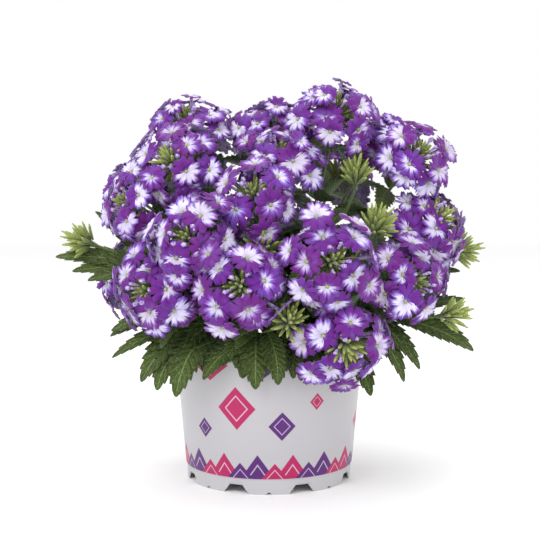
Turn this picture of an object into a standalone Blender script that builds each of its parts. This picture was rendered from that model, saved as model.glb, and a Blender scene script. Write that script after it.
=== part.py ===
"""A verbena in full flower in its round nursery pot.

The pot stands on its feet at z = 0, with its axis on Z. The front, which the rows below call bearing 0, looks
along -Y, and a bearing of 90 degrees looks along +X. Each flower head is a ring of florets that sits round the
green hub of its own leafy stem, and each stem stands in a plain hole in the potting soil.
"""

import math
import random

import bmesh
import bpy
from mathutils import Matrix, Vector
from mathutils.bvhtree import BVHTree

MM = 0.001
GAP = 0.4 * MM

# The pot: a thin moulded wall on a foot ring that is cut into feet by arches
POT_SIDES = 30
POT_HEIGHT = 93 * MM
POT_RIM_RADIUS = 69 * MM
POT_TOP_RADIUS = 68.2 * MM
POT_WAIST_RADIUS = 60.8 * MM
POT_FOOT_RADIUS = 60 * MM
POT_WALL = 1.4 * MM
LIP_HEIGHT = 3 * MM
SKIRT_HEIGHT = 11 * MM
FLOOR_UNDERSIDE = 7 * MM
FLOOR_TOP = 8.5 * MM
FEET = 8
ARCH_HEIGHT = 6 * MM
ARCH_FOOT_WIDTH = 17 * MM
ARCH_TOP_WIDTH = 11 * MM
DRAIN_RADIUS = 3.2 * MM
DRAIN_RING_RADIUS = 42 * MM
DRAINS = 4

# The potting soil fills the pot nearly to its rim
SOIL_EDGE = 82 * MM
SOIL_MIDDLE = 85 * MM
SOIL_GAP = 0.35 * MM

# A stem is square, as on the real plant, and stands this deep in its hole. It stands at a share of its head's
# distance from the pot's axis, which is STEM_SPREAD for the lowest head and falls by STEM_GATHER for each metre up
STEM_RADIUS = 1.6 * MM
STEM_TIP_RADIUS = 1.3 * MM
STEM_DEPTH = 12 * MM
STEM_SPREAD = 0.46
STEM_GATHER = 1.4
STEM_STEPS = 4

# The top of a stem: a collar that carries the ring of florets, and the hub that passes through it to the buds
COLLAR_RADIUS = 6.4 * MM
COLLAR_DEPTH = 4 * MM
COLLAR_TOP = 3.4 * MM
HUB_RADIUS = 4.2 * MM
HUB_TOP_RADIUS = 3.4 * MM
HUB_TOP = 11.5 * MM
BUDS = 4
YOUNG_BUDS = 6
BUD_LENGTH = 13 * MM
YOUNG_BUD_LENGTH = 17 * MM
BUD_RADIUS = 1.8 * MM
BUD_LEAN = 34
GOLDEN_ANGLE = 137.5

# The core that a head's florets grow from, and the two rings of florets, the upper lapping over the lower:
# how many, how far off the head's axis and up it, tilt of the face and turn of the first in degrees
CORE_RADIUS = 10.5 * MM
CORE_TOP = 10.5 * MM
FLORET_RINGS = ((3, 19.5 * MM, 20 * MM, 30, 90), (3, 25.5 * MM, 11 * MM, 52, 30))
FLORET_RADIUS = 14.5 * MM
PETALS = 5
PETAL_HALF_ANGLE = 27
PETAL_THICKNESS = 0.8 * MM
THROAT_DEPTH = 2 * MM
NOTCH_SHARE = 0.5
TUBE_RADIUS = 1.3 * MM

# How a floret or a leaf tries to stand clear of what is there. Floret: bend in degrees, share of its reach, size.
# Leaf: twist about the stem and lean off it in degrees
FLORET_WAYS = (
    (0, 1, 1),
    (-8, 1, 1),
    (8, 1, 1),
    (0, 1.08, 1),
    (0, 0.92, 0.92),
    (-16, 1, 0.92),
    (16, 1, 0.92),
    (-12, 1.08, 0.85),
    (0, 0.9, 0.8),
    (-20, 0.92, 0.8),
    (0, 1, 0.7),
    (-25, 1, 0.65),
)
LEAF_WAYS = tuple((twist, lean) for twist in (0, 25, -25, 50, -50, 75, -75) for lean in (62, 45, 80))

# The leaves by rule: an opposite pair on each stem, and a single leaf on the stems at the back
LEAF_LENGTH = 40 * MM
LEAF_WIDTH = 21 * MM
LEAF_ARCH = 5 * MM
LEAF_THICKNESS = 0.8 * MM
LEAF_ROWS = 4
LARGE_LEAF_ROWS = 6
LEAF_SHARE = 0.6

# name, place of the hub in mm, bearing and rise of the way it faces in degrees
FLOWERING = (
    ("left_top", (-61, -51, 222), -20, 25),
    ("left_crest", (-57, -7, 247), -15, 60),
    ("left_wing", (-88, -38, 196), -44, 18),
    ("left_middle", (-49, -86, 175), -15, 14),
    ("left_low", (-74, -70, 142), -30, 0),
    ("centre_low", (-17, -99, 147), -5, 3),
    ("centre_right", (38, -96, 161), 10, 12),
    ("crest_right", (45, -30, 256), 5, 50),
    ("right_top", (98, -33, 226), 32, 35),
    ("right_wing", (108, -32, 182), 46, 26),
    ("right_low", (89, -66, 147), 34, 3),
    ("front_low", (47, -85, 111), 12, -15),
    ("crest_middle", (4, -2, 245), 0, 64),
    ("crest_front", (8, -46, 223), 6, 48),
    ("centre_top", (-9, -70, 199), -6, 30),
    ("left_side", (-98, 22, 202), -98, 26),
    ("left_side_low", (-102, 24, 146), -104, 0),
    ("back_left_top", (-56, 54, 224), -138, 44),
    ("back_left", (-48, 90, 148), -156, 0),
    ("back_middle", (2, 97, 190), 178, 20),
    ("back_right_top", (52, 60, 216), 146, 36),
    ("back_right", (54, 88, 146), 152, 0),
    ("right_side", (108, 24, 156), 100, 4),
    ("right_crest", (78, 14, 237), 78, 50),
    ("crest_back", (-2, 44, 247), 180, 60),
)

# Young shoots branch from a flowering stem and end in a tuft of buds that haven't opened: name, stem, share of the
# way up it, place of the tuft's hub in mm, bearing and rise
YOUNG = (
    ("young_left", "left_wing", 0.5, (-122, -13, 168), -62, 20),
    ("young_right", "right_low", 0.5, (113, -55, 122), 52, 8),
    ("young_right_high", "right_side", 0.55, (126, -10, 164), 74, 6),
    ("young_top", "crest_right", 0.55, (59, -42, 208), 5, 62),
    ("young_centre", "centre_top", 0.6, (-4, -74, 163), 0, 42),
    ("young_inner", "centre_right", 0.62, (68, -64, 176), 24, 45),
    ("young_front", "centre_low", 0.4, (12, -86, 120), 5, 18),
    ("young_back", "left_side", 0.5, (-100, 64, 182), -124, 25),
)

# The large leaves that hang over the rim or stand out at the sides: stem, share of the way up it, place of the tip
# in mm, how far the leaf arches, and its width in mm
LARGE_LEAVES = (
    ("left_low", 0.5, (-62, -78, 71), 20, 28),
    ("left_low", 0.6, (-76, -64, 73), 16, 27),
    ("left_low", 0.72, (-108, -52, 112), 10, 20),
    ("left_low", 0.66, (-107, -56, 94), 8, 14),
    ("centre_low", 0.4, (-44, -74, 82), 14, 20),
    ("centre_low", 0.5, (-9, -78, 76), 16, 24),
    ("young_front", 0.5, (6, -78, 79), 12, 20),
    ("right_low", 0.62, (91, -66, 79), 20, 18),
    ("young_right", 0.8, (139, -58, 99), 8, 20),
    ("young_right", 0.7, (134, -50, 134), 4, 14),
    ("young_left", 0.72, (-152, -18, 161), 6, 19),
    ("young_left", 0.6, (-127, -32, 145), 6, 18),
    ("young_left", 0.86, (-125, -8, 193), 6, 13),
)


def clear_scene():
    for obj in list(bpy.data.objects):
        bpy.data.objects.remove(obj, do_unlink=True)


def finish_named(name, colour, roughness):
    """The plain finish of one kind of piece."""
    material = bpy.data.materials.get(name) or bpy.data.materials.new(name)
    material.use_nodes = True
    shader = material.node_tree.nodes["Principled BSDF"]
    shader.inputs["Base Color"].default_value = (*colour, 1)
    shader.inputs["Roughness"].default_value = roughness
    shader.inputs["Metallic"].default_value = 0
    return material


def facing(bearing, rise):
    """The unit vector that looks this way, both in degrees."""
    turn, lift = math.radians(bearing), math.radians(rise)
    return Vector((math.sin(turn) * math.cos(lift), -math.cos(turn) * math.cos(lift), math.sin(lift)))


def frame_at(origin, outward, upward=Vector((0, 0, 1))):
    """A frame at origin whose Z axis is outward and whose Y axis leans towards upward."""
    side = upward.cross(outward)
    if side.length < 1e-4:
        side = Vector((1, 0, 0))
    side.normalize()
    rotation = Matrix((side, outward.cross(side), outward)).transposed().to_4x4()
    return Matrix.Translation(origin) @ rotation


def polar(distance, tilt, turn):
    """A point at this distance, tilt degrees off the Z axis and turn degrees round it."""
    lean, spin = math.radians(tilt), math.radians(turn)
    flat = distance * math.sin(lean)
    return Vector((flat * math.cos(spin), flat * math.sin(spin), distance * math.cos(lean)))


def object_of(name, bm):
    mesh = bpy.data.meshes.new(name)
    bm.to_mesh(mesh)
    bm.free()
    obj = bpy.data.objects.new(name, mesh)
    bpy.context.scene.collection.objects.link(obj)
    return obj


def combine(name, body, others, operation):
    """Body with every mesh of others joined to it or cut from it, as one new object."""
    base = object_of(name, body)
    group = bpy.data.collections.new(name + "_pieces")
    bpy.context.scene.collection.children.link(group)
    for index, bm in enumerate(others):
        piece = object_of(f"{name}_piece_{index}", bm)
        bpy.context.scene.collection.objects.unlink(piece)
        group.objects.link(piece)
    boolean = base.modifiers.new("join", "BOOLEAN")
    boolean.operation = operation
    boolean.operand_type = "COLLECTION"
    boolean.collection = group
    boolean.solver = "EXACT"
    bpy.context.view_layer.update()
    whole = bpy.data.meshes.new_from_object(base.evaluated_get(bpy.context.evaluated_depsgraph_get()))
    base.modifiers.clear()
    base.data = whole
    for piece in list(group.objects):
        bpy.data.objects.remove(piece, do_unlink=True)
    bpy.data.collections.remove(group)
    return base


class Taken:
    """The room that finished pieces fill, so that a new petal or leaf can be bent clear of them."""

    def __init__(self):
        self.trees = []

    def add(self, owner, meshes):
        for bm in meshes:
            self.trees.append((owner, BVHTree.FromBMesh(bm)))

    def blocks(self, bm, owner):
        tree = BVHTree.FromBMesh(bm)
        return any(name != owner and tree.overlap(other) for name, other in self.trees)


def turned(profile, sides):
    """A closed solid spun round Z from profile points (radius, height), the first and last of them on the axis or
    the same point."""
    bm = bmesh.new()
    points = [bm.verts.new((radius, 0, height)) for radius, height in profile]
    edges = [bm.edges.new(pair) for pair in zip(points, points[1:])]
    if profile[0][0] > 0:
        edges.append(bm.edges.new((points[-1], points[0])))
    bmesh.ops.spin(
        bm, geom=points + edges, cent=(0, 0, 0), axis=(0, 0, 1), angle=math.tau, steps=sides, use_merge=True
    )
    bmesh.ops.remove_doubles(bm, verts=bm.verts, dist=1e-6)
    bmesh.ops.recalc_face_normals(bm, faces=bm.faces)
    return bm


def prism(sides, low_radius, high_radius, low, high):
    """An upright cone or prism between two heights, with a corner at every 360 / sides degrees from X."""
    bm = bmesh.new()
    bmesh.ops.create_cone(
        bm, cap_ends=True, segments=sides, radius1=low_radius, radius2=high_radius, depth=high - low
    )
    bmesh.ops.translate(bm, verts=bm.verts, vec=(0, 0, (low + high) / 2))
    return bm


def spike(start, end, start_radius, end_radius, sides=3):
    """A tapered tube from start to end, which ends in a point where end_radius is 0."""
    run = end - start
    bm = prism(sides, start_radius, end_radius, 0, run.length)
    place = Matrix.Translation(start) @ run.to_track_quat("Z", "Y").to_matrix().to_4x4()
    bmesh.ops.transform(bm, matrix=place, verts=bm.verts)
    return bm


def swept(points, radii, sides=4):
    """A tube along points, its first ring level and each next ring square to the way there."""
    bm = bmesh.new()
    ahead = Vector((0, 0, 1))
    spoke = Vector((1, 1, 0)).normalized()
    rings = []
    for index, (point, radius) in enumerate(zip(points, radii)):
        before = points[max(index - 1, 0)]
        after = points[min(index + 1, len(points) - 1)]
        heading = (after - before).normalized()
        spoke = ahead.rotation_difference(heading) @ spoke
        ahead = heading
        ring = [
            bm.verts.new(point + Matrix.Rotation(math.tau * side / sides, 3, heading) @ spoke * radius)
            for side in range(sides)
        ]
        rings.append(ring)
    for ring, following in zip(rings, rings[1:]):
        for side in range(sides):
            after = (side + 1) % sides
            bm.faces.new((ring[side], ring[after], following[after], following[side]))
    bm.faces.new(reversed(rings[0]))
    bm.faces.new(rings[-1])
    return bm


def shade_round(obj):
    obj.data.shade_smooth()
    obj.data.set_sharp_from_angle(angle=math.radians(30))


def pot():
    """A moulded pot: the wall, its lip, the floor with drain holes, and the foot ring with its arches."""
    inside = POT_WALL
    profile = (
        (0, FLOOR_UNDERSIDE),
        (POT_FOOT_RADIUS - inside, FLOOR_UNDERSIDE),
        (POT_FOOT_RADIUS - inside, 0),
        (POT_FOOT_RADIUS - 0.4 * MM, 0),
        (POT_FOOT_RADIUS, SKIRT_HEIGHT),
        (POT_WAIST_RADIUS, SKIRT_HEIGHT),
        (POT_TOP_RADIUS, POT_HEIGHT - LIP_HEIGHT),
        (POT_RIM_RADIUS, POT_HEIGHT - LIP_HEIGHT),
        (POT_RIM_RADIUS, POT_HEIGHT),
        (POT_TOP_RADIUS - inside, POT_HEIGHT),
        (POT_WAIST_RADIUS - inside, FLOOR_TOP),
        (0, FLOOR_TOP),
    )
    body = turned(profile, POT_SIDES)
    cutters = []
    for foot in range(FEET):
        arch = arch_cutter()
        turn = Matrix.Rotation(math.tau * (foot + 0.5) / FEET, 4, "Z")
        bmesh.ops.transform(arch, matrix=turn, verts=arch.verts)
        cutters.append(arch)
    for drain in range(DRAINS):
        hole = prism(6, DRAIN_RADIUS, DRAIN_RADIUS, FLOOR_UNDERSIDE - 3 * MM, FLOOR_TOP + 3 * MM)
        place = polar(DRAIN_RING_RADIUS, 90, 45 + 360 * drain / DRAINS)
        bmesh.ops.translate(hole, verts=hole.verts, vec=(place.x, place.y, 0))
        cutters.append(hole)
    obj = combine("pot", body, cutters, "DIFFERENCE")
    shade_round(obj)
    obj.data.materials.append(finish_named("white_polypropylene", (0.82, 0.82, 0.84), 0.45))
    return obj


def arch_cutter():
    """A block that crosses the foot ring in front, wider at the foot, which cuts one arch."""
    bm = bmesh.new()
    near, far = -(POT_FOOT_RADIUS + 5 * MM), -(POT_FOOT_RADIUS - 9 * MM)
    foot, top = ARCH_FOOT_WIDTH / 2, ARCH_TOP_WIDTH / 2
    outline = ((-foot, -2 * MM), (foot, -2 * MM), (top, ARCH_HEIGHT), (-top, ARCH_HEIGHT))
    face = bm.faces.new([bm.verts.new((x, near, z)) for x, z in outline])
    grown = bmesh.ops.extrude_face_region(bm, geom=[face])["geom"]
    moved = [part for part in grown if isinstance(part, bmesh.types.BMVert)]
    bmesh.ops.translate(bm, verts=moved, vec=(0, far - near, 0))
    bmesh.ops.recalc_face_normals(bm, faces=bm.faces)
    return bm


def soil(footings):
    """The plug of potting soil, with a square hole for each stem."""
    inner = POT_WALL + SOIL_GAP
    lean = (POT_TOP_RADIUS - POT_WAIST_RADIUS) / (POT_HEIGHT - FLOOR_TOP)
    low = FLOOR_TOP + SOIL_GAP
    profile = (
        (0, low),
        (POT_WAIST_RADIUS - inner, low),
        (POT_WAIST_RADIUS - inner + lean * (SOIL_EDGE - FLOOR_TOP), SOIL_EDGE),
        (0, SOIL_MIDDLE),
    )
    body = turned(profile, POT_SIDES)
    holes = []
    for foot in footings:
        hole = swept(
            [foot + Vector((0, 0, -GAP)), foot + Vector((0, 0, STEM_DEPTH + 9 * MM))],
            [STEM_RADIUS + GAP * 1.4] * 2,
        )
        holes.append(hole)
    obj = combine("soil", body, holes, "DIFFERENCE")
    shade_round(obj)
    obj.data.materials.append(finish_named("potting_soil", (0.06, 0.04, 0.025), 0.95))
    return obj


def curve(foot, rise, hub, outward):
    """Points along one bend from foot, which first runs along rise, to the hub, where it runs outward."""
    reach = (hub - foot).length
    near = foot + 0.32 * reach * rise
    far = hub - 0.35 * reach * outward
    points = []
    for step in range(STEM_STEPS):
        share = step / STEM_STEPS
        rest = 1 - share
        points.append(rest**3 * foot + 3 * rest**2 * share * near + 3 * rest * share**2 * far + share**3 * hub)
    return points


def stem_line(hub, outward):
    """The line of a stem: straight up out of its hole, then in one curve to the hub. The taller the stem, the nearer
    the pot's axis it stands."""
    spread = STEM_SPREAD - STEM_GATHER * (hub.z - SOIL_MIDDLE)
    surface = Vector((hub.x * spread, hub.y * spread, SOIL_MIDDLE))
    rise = (Vector((0, 0, 1)) + 0.35 * Vector((outward.x, outward.y, 0))).normalized()
    return [surface - Vector((0, 0, STEM_DEPTH))] + curve(surface, rise, hub, outward)


def branch_line(parent, share, hub, outward):
    """The line of a young shoot, from the axis of the stem it branches from."""
    foot, run = along(parent, share)
    return curve(foot, (run + outward).normalized(), hub, outward)


def stalk(points, radius, hub, outward):
    """The stem with its collar and hub, in one square tube."""
    top = [(hub - COLLAR_DEPTH * outward, STEM_TIP_RADIUS)]
    top += [
        (hub + height * outward, size)
        for height, size in (
            (COLLAR_TOP, COLLAR_RADIUS),
            (COLLAR_TOP, HUB_RADIUS),
            (HUB_TOP, HUB_TOP_RADIUS),
        )
    ]
    last = len(points)
    radii = [radius + (STEM_TIP_RADIUS - radius) * max(0, step - 1) / (last - 1) for step in range(last)]
    return swept(points + [point for point, _ in top], radii + [size for _, size in top])


def along(points, share):
    """The place at this share of the way up a stem, and the way the stem runs there."""
    lengths = [(after - before).length for before, after in zip(points, points[1:])]
    left = share * sum(lengths)
    for before, after, length in zip(points, points[1:], lengths):
        if left <= length:
            return before.lerp(after, left / length), (after - before).normalized()
        left -= length
    return points[-1], (points[-1] - points[-2]).normalized()


def tuft(frame, buds, length):
    """The pointed buds that stand on a hub. Each stands a golden angle round from the last and leans out more."""
    spikes = []
    for bud in range(buds):
        share = bud / (buds - 1)
        turn = GOLDEN_ANGLE * bud
        root = polar(HUB_RADIUS * 0.45 * share**0.5, 90, turn) + Vector((0, 0, HUB_TOP - 2.5 * MM))
        tip = root + polar(length * (1 - 0.2 * share), BUD_LEAN * share**0.5, turn)
        spikes.append(spike(root, tip, BUD_RADIUS, 0))
    for bm in spikes:
        bmesh.ops.transform(bm, matrix=frame, verts=bm.verts)
    return spikes


def floret(root, centre, face, inward, size, margin=0):
    """One floret: a limb of five notched petals that sinks to its throat, on a slender tube from the root. Two of
    its petals lie either side of inward. The mesh is thicker and wider by the margin all round."""
    bm = bmesh.new()
    lie = frame_at(centre, face, inward)
    half = PETAL_THICKNESS / 2 + margin
    upper, lower = [], []
    for petal in range(PETALS):
        middle = 360 * petal / PETALS + 54
        for angle in (middle - PETAL_HALF_ANGLE, middle + PETAL_HALF_ANGLE):
            corner = polar(FLORET_RADIUS * size + margin, 90, angle)
            upper.append(bm.verts.new(lie @ (corner + Vector((0, 0, half)))))
            lower.append(bm.verts.new(lie @ (corner - Vector((0, 0, half)))))
        notch = bm.verts.new(lie @ polar(FLORET_RADIUS * size * NOTCH_SHARE + margin, 90, middle + 180 / PETALS))
        upper.append(notch)
        lower.append(notch)
    throat = bm.verts.new(lie @ Vector((0, 0, half - THROAT_DEPTH)))
    run = (centre - root).normalized()
    turn = face.rotation_difference(run).to_matrix()
    neck, foot = [], []
    for side in range(3):
        spoke = polar(TUBE_RADIUS + margin, 90, 97.5 + 120 * side)
        neck.append(bm.verts.new(lie @ (spoke - Vector((0, 0, half + THROAT_DEPTH)))))
        foot.append(bm.verts.new(root + turn @ (lie.to_3x3() @ spoke)))
    rim = len(upper)
    share = rim // 3
    for index in range(rim):
        after = (index + 1) % rim
        bm.faces.new((upper[index], upper[after], throat))
        bm.faces.new((lower[after], lower[index], neck[index // share]))
        corners = [upper[index], lower[index], lower[after], upper[after]]
        bm.faces.new(list(dict.fromkeys(corners)))
    for side in range(3):
        after = (side + 1) % 3
        bm.faces.new((neck[side], neck[after], lower[share * after]))
        bm.faces.new((foot[side], foot[after], neck[after], neck[side]))
    bm.faces.new(reversed(foot))
    bmesh.ops.recalc_face_normals(bm, faces=bm.faces)
    return bm


def head(name, frame, taken):
    """The core of a head and the florets that grow from it. A floret that would touch another piece is bent clear,
    then made smaller, or else left out."""
    hole = HUB_RADIUS + 3 * GAP
    low = COLLAR_TOP + GAP
    core = turned(((hole, low), (CORE_RADIUS, low + 2.5 * MM), (hole, CORE_TOP)), 6)
    bmesh.ops.transform(core, matrix=frame, verts=core.verts)
    lie = frame.to_3x3()
    florets = []
    for count, radius, height, tilt, first in FLORET_RINGS:
        for index in range(count):
            turn = first + 360 * index / count
            root = frame @ (polar(CORE_RADIUS - 3 * MM, 90, turn) + Vector((0, 0, low + 3 * MM)))
            for bend, share, size in FLORET_WAYS:
                swing = Matrix.Rotation(math.radians(bend), 3, polar(1, 90, turn + 90))
                centre = frame @ (swing @ (polar(radius, 90, turn) + Vector((0, 0, height))) * share)
                stance = (root, centre, lie @ (swing @ polar(1, tilt, turn)), lie @ -polar(1, 90, turn), size)
                trial = floret(*stance, margin=GAP)
                clear = not touches(trial, florets) and not taken.blocks(trial, name)
                trial.free()
                if clear:
                    florets.append(floret(*stance))
                    break
    taken.add(name, [core] + florets)
    return core, florets


def leaf(base, tip, bulge, width, rows, margin=0):
    """One toothed leaf blade from base to tip, which arches towards bulge. Its teeth are its odd rows."""
    bm = bmesh.new()
    middle = (base + tip) / 2 + bulge
    side = (tip - base).cross(bulge).normalized()
    pairs = []
    for row in range(rows):
        share = row / rows
        point = (1 - share) ** 2 * base + 2 * share * (1 - share) * middle + share**2 * tip
        swell = math.sin(math.pi * share**0.75) ** 0.8
        tooth = 1 if row % 2 else 0.66
        half = max(width / 2 * swell * tooth, 1 * MM) + margin
        pairs.append([bm.verts.new(point + side * half), bm.verts.new(point - side * half)])
    end = bm.verts.new(tip)
    for low, high in zip(pairs, pairs[1:]):
        bm.faces.new((low[0], low[1], high[1]))
        bm.faces.new((low[0], high[1], high[0]))
    bm.faces.new((pairs[-1][0], pairs[-1][1], end))
    bm.normal_update()
    bmesh.ops.solidify(bm, geom=bm.faces[:], thickness=LEAF_THICKNESS + 2 * margin)
    bmesh.ops.recalc_face_normals(bm, faces=bm.faces)
    return bm


def rooted(node_at, tip):
    """Where a leaf starts inside its stem, a little off the axis, so that opposite leaves don't share a corner."""
    return node_at + (tip - node_at).normalized() * 0.4 * MM


def arch_of(base, tip, height):
    """How a leaf arches between base and tip: up, and square to the straight line between them."""
    along_leaf = (tip - base).normalized()
    lift = Vector((0, 0, 1)) - along_leaf * along_leaf.z
    if lift.length < 0.5:
        lift += 0.7 * Vector((base.x, base.y, 0)).normalized()
        lift -= along_leaf * along_leaf.dot(lift)
    return lift.normalized() * height


def leaves_of(lines, taken):
    """The leaves of one stem and its branches: the large ones of the list, then those by rule where there is room.
    lines holds the line of the stem and of each branch by name, the stem first."""
    owner = next(iter(lines))
    grown = []
    for name, share, tip, arch, width in LARGE_LEAVES:
        if name in lines:
            tip = Vector(tip) * MM
            base = rooted(along(lines[name], share)[0], tip)
            grown.append(leaf(base, tip, arch_of(base, tip, arch * MM), width * MM, LARGE_LEAF_ROWS))
    chance = random.Random(owner)
    first = chance.uniform(0, 180)
    size = chance.uniform(0.85, 1.1)
    node_at, run = along(lines[owner], LEAF_SHARE)
    level = frame_at(node_at, run).to_3x3()
    for turn in (first, first + 180) if node_at.y < 0 else (first,):
        for twist, lean in LEAF_WAYS:
            tip = node_at + level @ polar(LEAF_LENGTH * size, lean, turn + twist)
            base = rooted(node_at, tip)
            shape = (base, tip, arch_of(base, tip, LEAF_ARCH), LEAF_WIDTH * size, LEAF_ROWS)
            trial = leaf(*shape, margin=GAP)
            clear = not touches(trial, grown) and not taken.blocks(trial, owner)
            trial.free()
            if clear:
                grown.append(leaf(*shape))
                break
    taken.add(owner, grown)
    return grown


def touches(bm, others):
    tree = BVHTree.FromBMesh(bm)
    return any(tree.overlap(BVHTree.FromBMesh(other)) for other in others)


def build():
    clear_scene()
    taken = Taken()
    petal_finish = finish_named("violet_petals", (0.22, 0.05, 0.42), 0.55)
    leaf_finish = finish_named("green_leaves", (0.08, 0.17, 0.04), 0.6)
    lines, tubes, spikes, frames = {}, {}, {}, {}
    for name, place, bearing, rise in FLOWERING:
        hub, outward = Vector(place) * MM, facing(bearing, rise)
        lines[name] = {name: stem_line(hub, outward)}
        frames[name] = frame_at(hub, outward)
        tubes[name] = stalk(lines[name][name], STEM_RADIUS, hub, outward)
        spikes[name] = tuft(frames[name], BUDS, BUD_LENGTH)
    for name, parent, share, place, bearing, rise in YOUNG:
        hub, outward = Vector(place) * MM, facing(bearing, rise)
        line = branch_line(lines[parent][parent], share, hub, outward)
        lines[parent][name] = line
        spikes[parent].append(stalk(line, STEM_TIP_RADIUS * 0.8, hub, outward))
        spikes[parent] += tuft(frame_at(hub, outward), YOUNG_BUDS, YOUNG_BUD_LENGTH)
    for name in lines:
        taken.add(name, [tubes[name]] + spikes[name])
    pot()
    soil([lines[name][name][0] for name in lines])
    for name in ("pot", "soil"):
        bm = bmesh.new()
        bm.from_mesh(bpy.data.objects[name].data)
        taken.add(name, [bm])
        bm.free()
    for name in lines:
        core, florets = head(name + "_bloom", frames[name], taken)
        bloom = combine(name + "_bloom", core, florets, "UNION")
        bloom.data.materials.append(petal_finish)
    for name in lines:
        leaves = leaves_of(lines[name], taken)
        stem = combine(name + "_stem", tubes[name], spikes[name] + leaves, "UNION")
        stem.data.materials.append(leaf_finish)


build()
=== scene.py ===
"""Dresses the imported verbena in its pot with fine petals, leaves, buds, pot and soil.

Everything is in metres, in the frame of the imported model: the pot stands at z = 0 with its axis on Z, and its
front looks along -Y. A bearing of 0 degrees looks along -Y and one of 90 degrees along +X.
"""

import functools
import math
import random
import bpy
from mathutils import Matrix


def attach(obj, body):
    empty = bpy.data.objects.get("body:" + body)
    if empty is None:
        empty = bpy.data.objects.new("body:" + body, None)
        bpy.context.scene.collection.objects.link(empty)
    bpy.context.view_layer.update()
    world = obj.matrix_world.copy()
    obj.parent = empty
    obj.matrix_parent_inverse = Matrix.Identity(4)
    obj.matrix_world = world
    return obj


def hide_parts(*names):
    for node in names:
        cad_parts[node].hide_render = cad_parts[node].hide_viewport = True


bl_info = {
    "name": "Potted Verbena",
    "version": (1, 0, 0),
    "blender": (4, 5, 0),
    "location": "View3D > Sidebar > Verbena",
    "description": "Dresses the packed verbena with petals, leaves, pot, soil and a small studio",
    "category": "Object",
}

import bmesh
import bpy
from mathutils import Matrix, Vector, noise
from mathutils.bvhtree import BVHTree
from mathutils.kdtree import KDTree

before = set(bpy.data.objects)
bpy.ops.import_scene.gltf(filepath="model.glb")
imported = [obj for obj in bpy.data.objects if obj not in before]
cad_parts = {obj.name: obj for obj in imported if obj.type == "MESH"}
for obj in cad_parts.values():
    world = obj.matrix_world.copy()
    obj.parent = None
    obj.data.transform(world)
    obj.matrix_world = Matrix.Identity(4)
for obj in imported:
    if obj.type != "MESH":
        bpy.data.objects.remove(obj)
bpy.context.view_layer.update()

MM = 0.001

# The pot's measures, as in its solid
POT_SIDES = 160
POT_HEIGHT = 93 * MM
POT_RIM_RADIUS = 69 * MM
POT_TOP_RADIUS = 68.2 * MM
POT_WAIST_RADIUS = 60.8 * MM
POT_FOOT_RADIUS = 60 * MM
FOOT_SET_IN = 0.4 * MM
POT_WALL = 1.4 * MM
LIP_HEIGHT = 3 * MM
SKIRT_HEIGHT = 11 * MM
FLOOR_UNDERSIDE = 7 * MM
FLOOR_TOP = 8.5 * MM
FEET = 8
ARCH_HEIGHT = 6 * MM
ARCH_FOOT_WIDTH = 17 * MM
ARCH_TOP_WIDTH = 11 * MM
NICK_HEIGHT = 1.5 * MM
NICK_WIDTH = 3 * MM
DRAIN_RADIUS = 3.2 * MM
DRAIN_RING_RADIUS = 42 * MM
DRAINS = 4
SOIL_EDGE = 82 * MM
SOIL_MIDDLE = 85 * MM
SOIL_GAP = 0.35 * MM
SOIL_STEPS = 24
CRUMBS = 330
PERLITE_SHARE = 0.12

# The print: for each row the number of lozenges, bearing of the first in degrees, height of its middle,
# half height, share of its room that a lozenge's width takes, and 1 if the first is purple. Then how far
# inside a lozenge its pale line runs and how wide it is, as shares
PRINT_ROWS = (
    (16, 4, 11 * MM, 17 * MM, 1.0, 0),
    (16, 15, 11 * MM, 11 * MM, 0.8, 1),
    (12, 8, 90 * MM, 12 * MM, 0.9, 0),
    (3, -80, 60 * MM, 15 * MM, 0.2, 0),
    (3, -52, 48 * MM, 10 * MM, 0.14, 1),
    (3, -104, 44 * MM, 7 * MM, 0.1, 1),
    (3, -30, 64 * MM, 6 * MM, 0.08, 0),
)
PRINT_LINE_INSET = 0.42
PRINT_LINE_WIDTH = 0.08

# Stems, collars and hubs, as in their solids
STEM_RADIUS = 1.6 * MM
STEM_TIP_RADIUS = 1.3 * MM
STEM_DEPTH = 12 * MM
STEM_SPREAD = 0.46
STEM_GATHER = 1.4
STEM_STEPS = 4
COLLAR_TOP = 3.4 * MM
HUB_TOP = 11.5 * MM
HUB_SHAPE = ((1, STEM_TIP_RADIUS), (3, 1.8 * MM), (8, 2.6 * MM), (11, 2.2 * MM), (12, 0.8 * MM))
GOLDEN_ANGLE = 137.5

# A calyx: length and radius of its hairs
HAIR_LENGTH = 0.9 * MM
HAIR_RADIUS = 0.06 * MM

# A tuft that is full and one that is open: calyxes, their length, their lean in degrees at the tuft's edge
FULL_TUFT = (26, 18 * MM, 52)
OPEN_TUFT = (18, 14 * MM, 42)
SPENT_CALYXES = 14
ROLLED_BUDS = 6

# A real head: two rings of florets round the tuft and a few that hang below them, how many, how far off the
# head's axis and up it, and their tilt in degrees. A head that faces up more than EARLY_RISE degrees also
# holds two small florets above its tuft
FLORET_RINGS = ((5, 17.4 * MM, 18.8 * MM, 27), (7, 25.8 * MM, 10.5 * MM, 52), (3, 27 * MM, 1.5 * MM, 80))
EARLY_RING = (2, 10 * MM, 26 * MM, 34)
EARLY_RISE = 40
EARLY_SIZE = 0.7
PETALS = 5
LIMBS = 6
EYE_RADIUS = 1.1 * MM
EYE_TOP = -1.1 * MM
EYE_FOOT = -1.9 * MM

# How much shorter a petal is at its middle, at three steps between, and at its side
PETAL_NOTCHES = (0.36, 0.01, 0.11, 0.07, 0.42)

# A floret's crossings are counted against those that are nearer than this many of its radii
NEAR_FLORETS = 2.6

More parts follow.
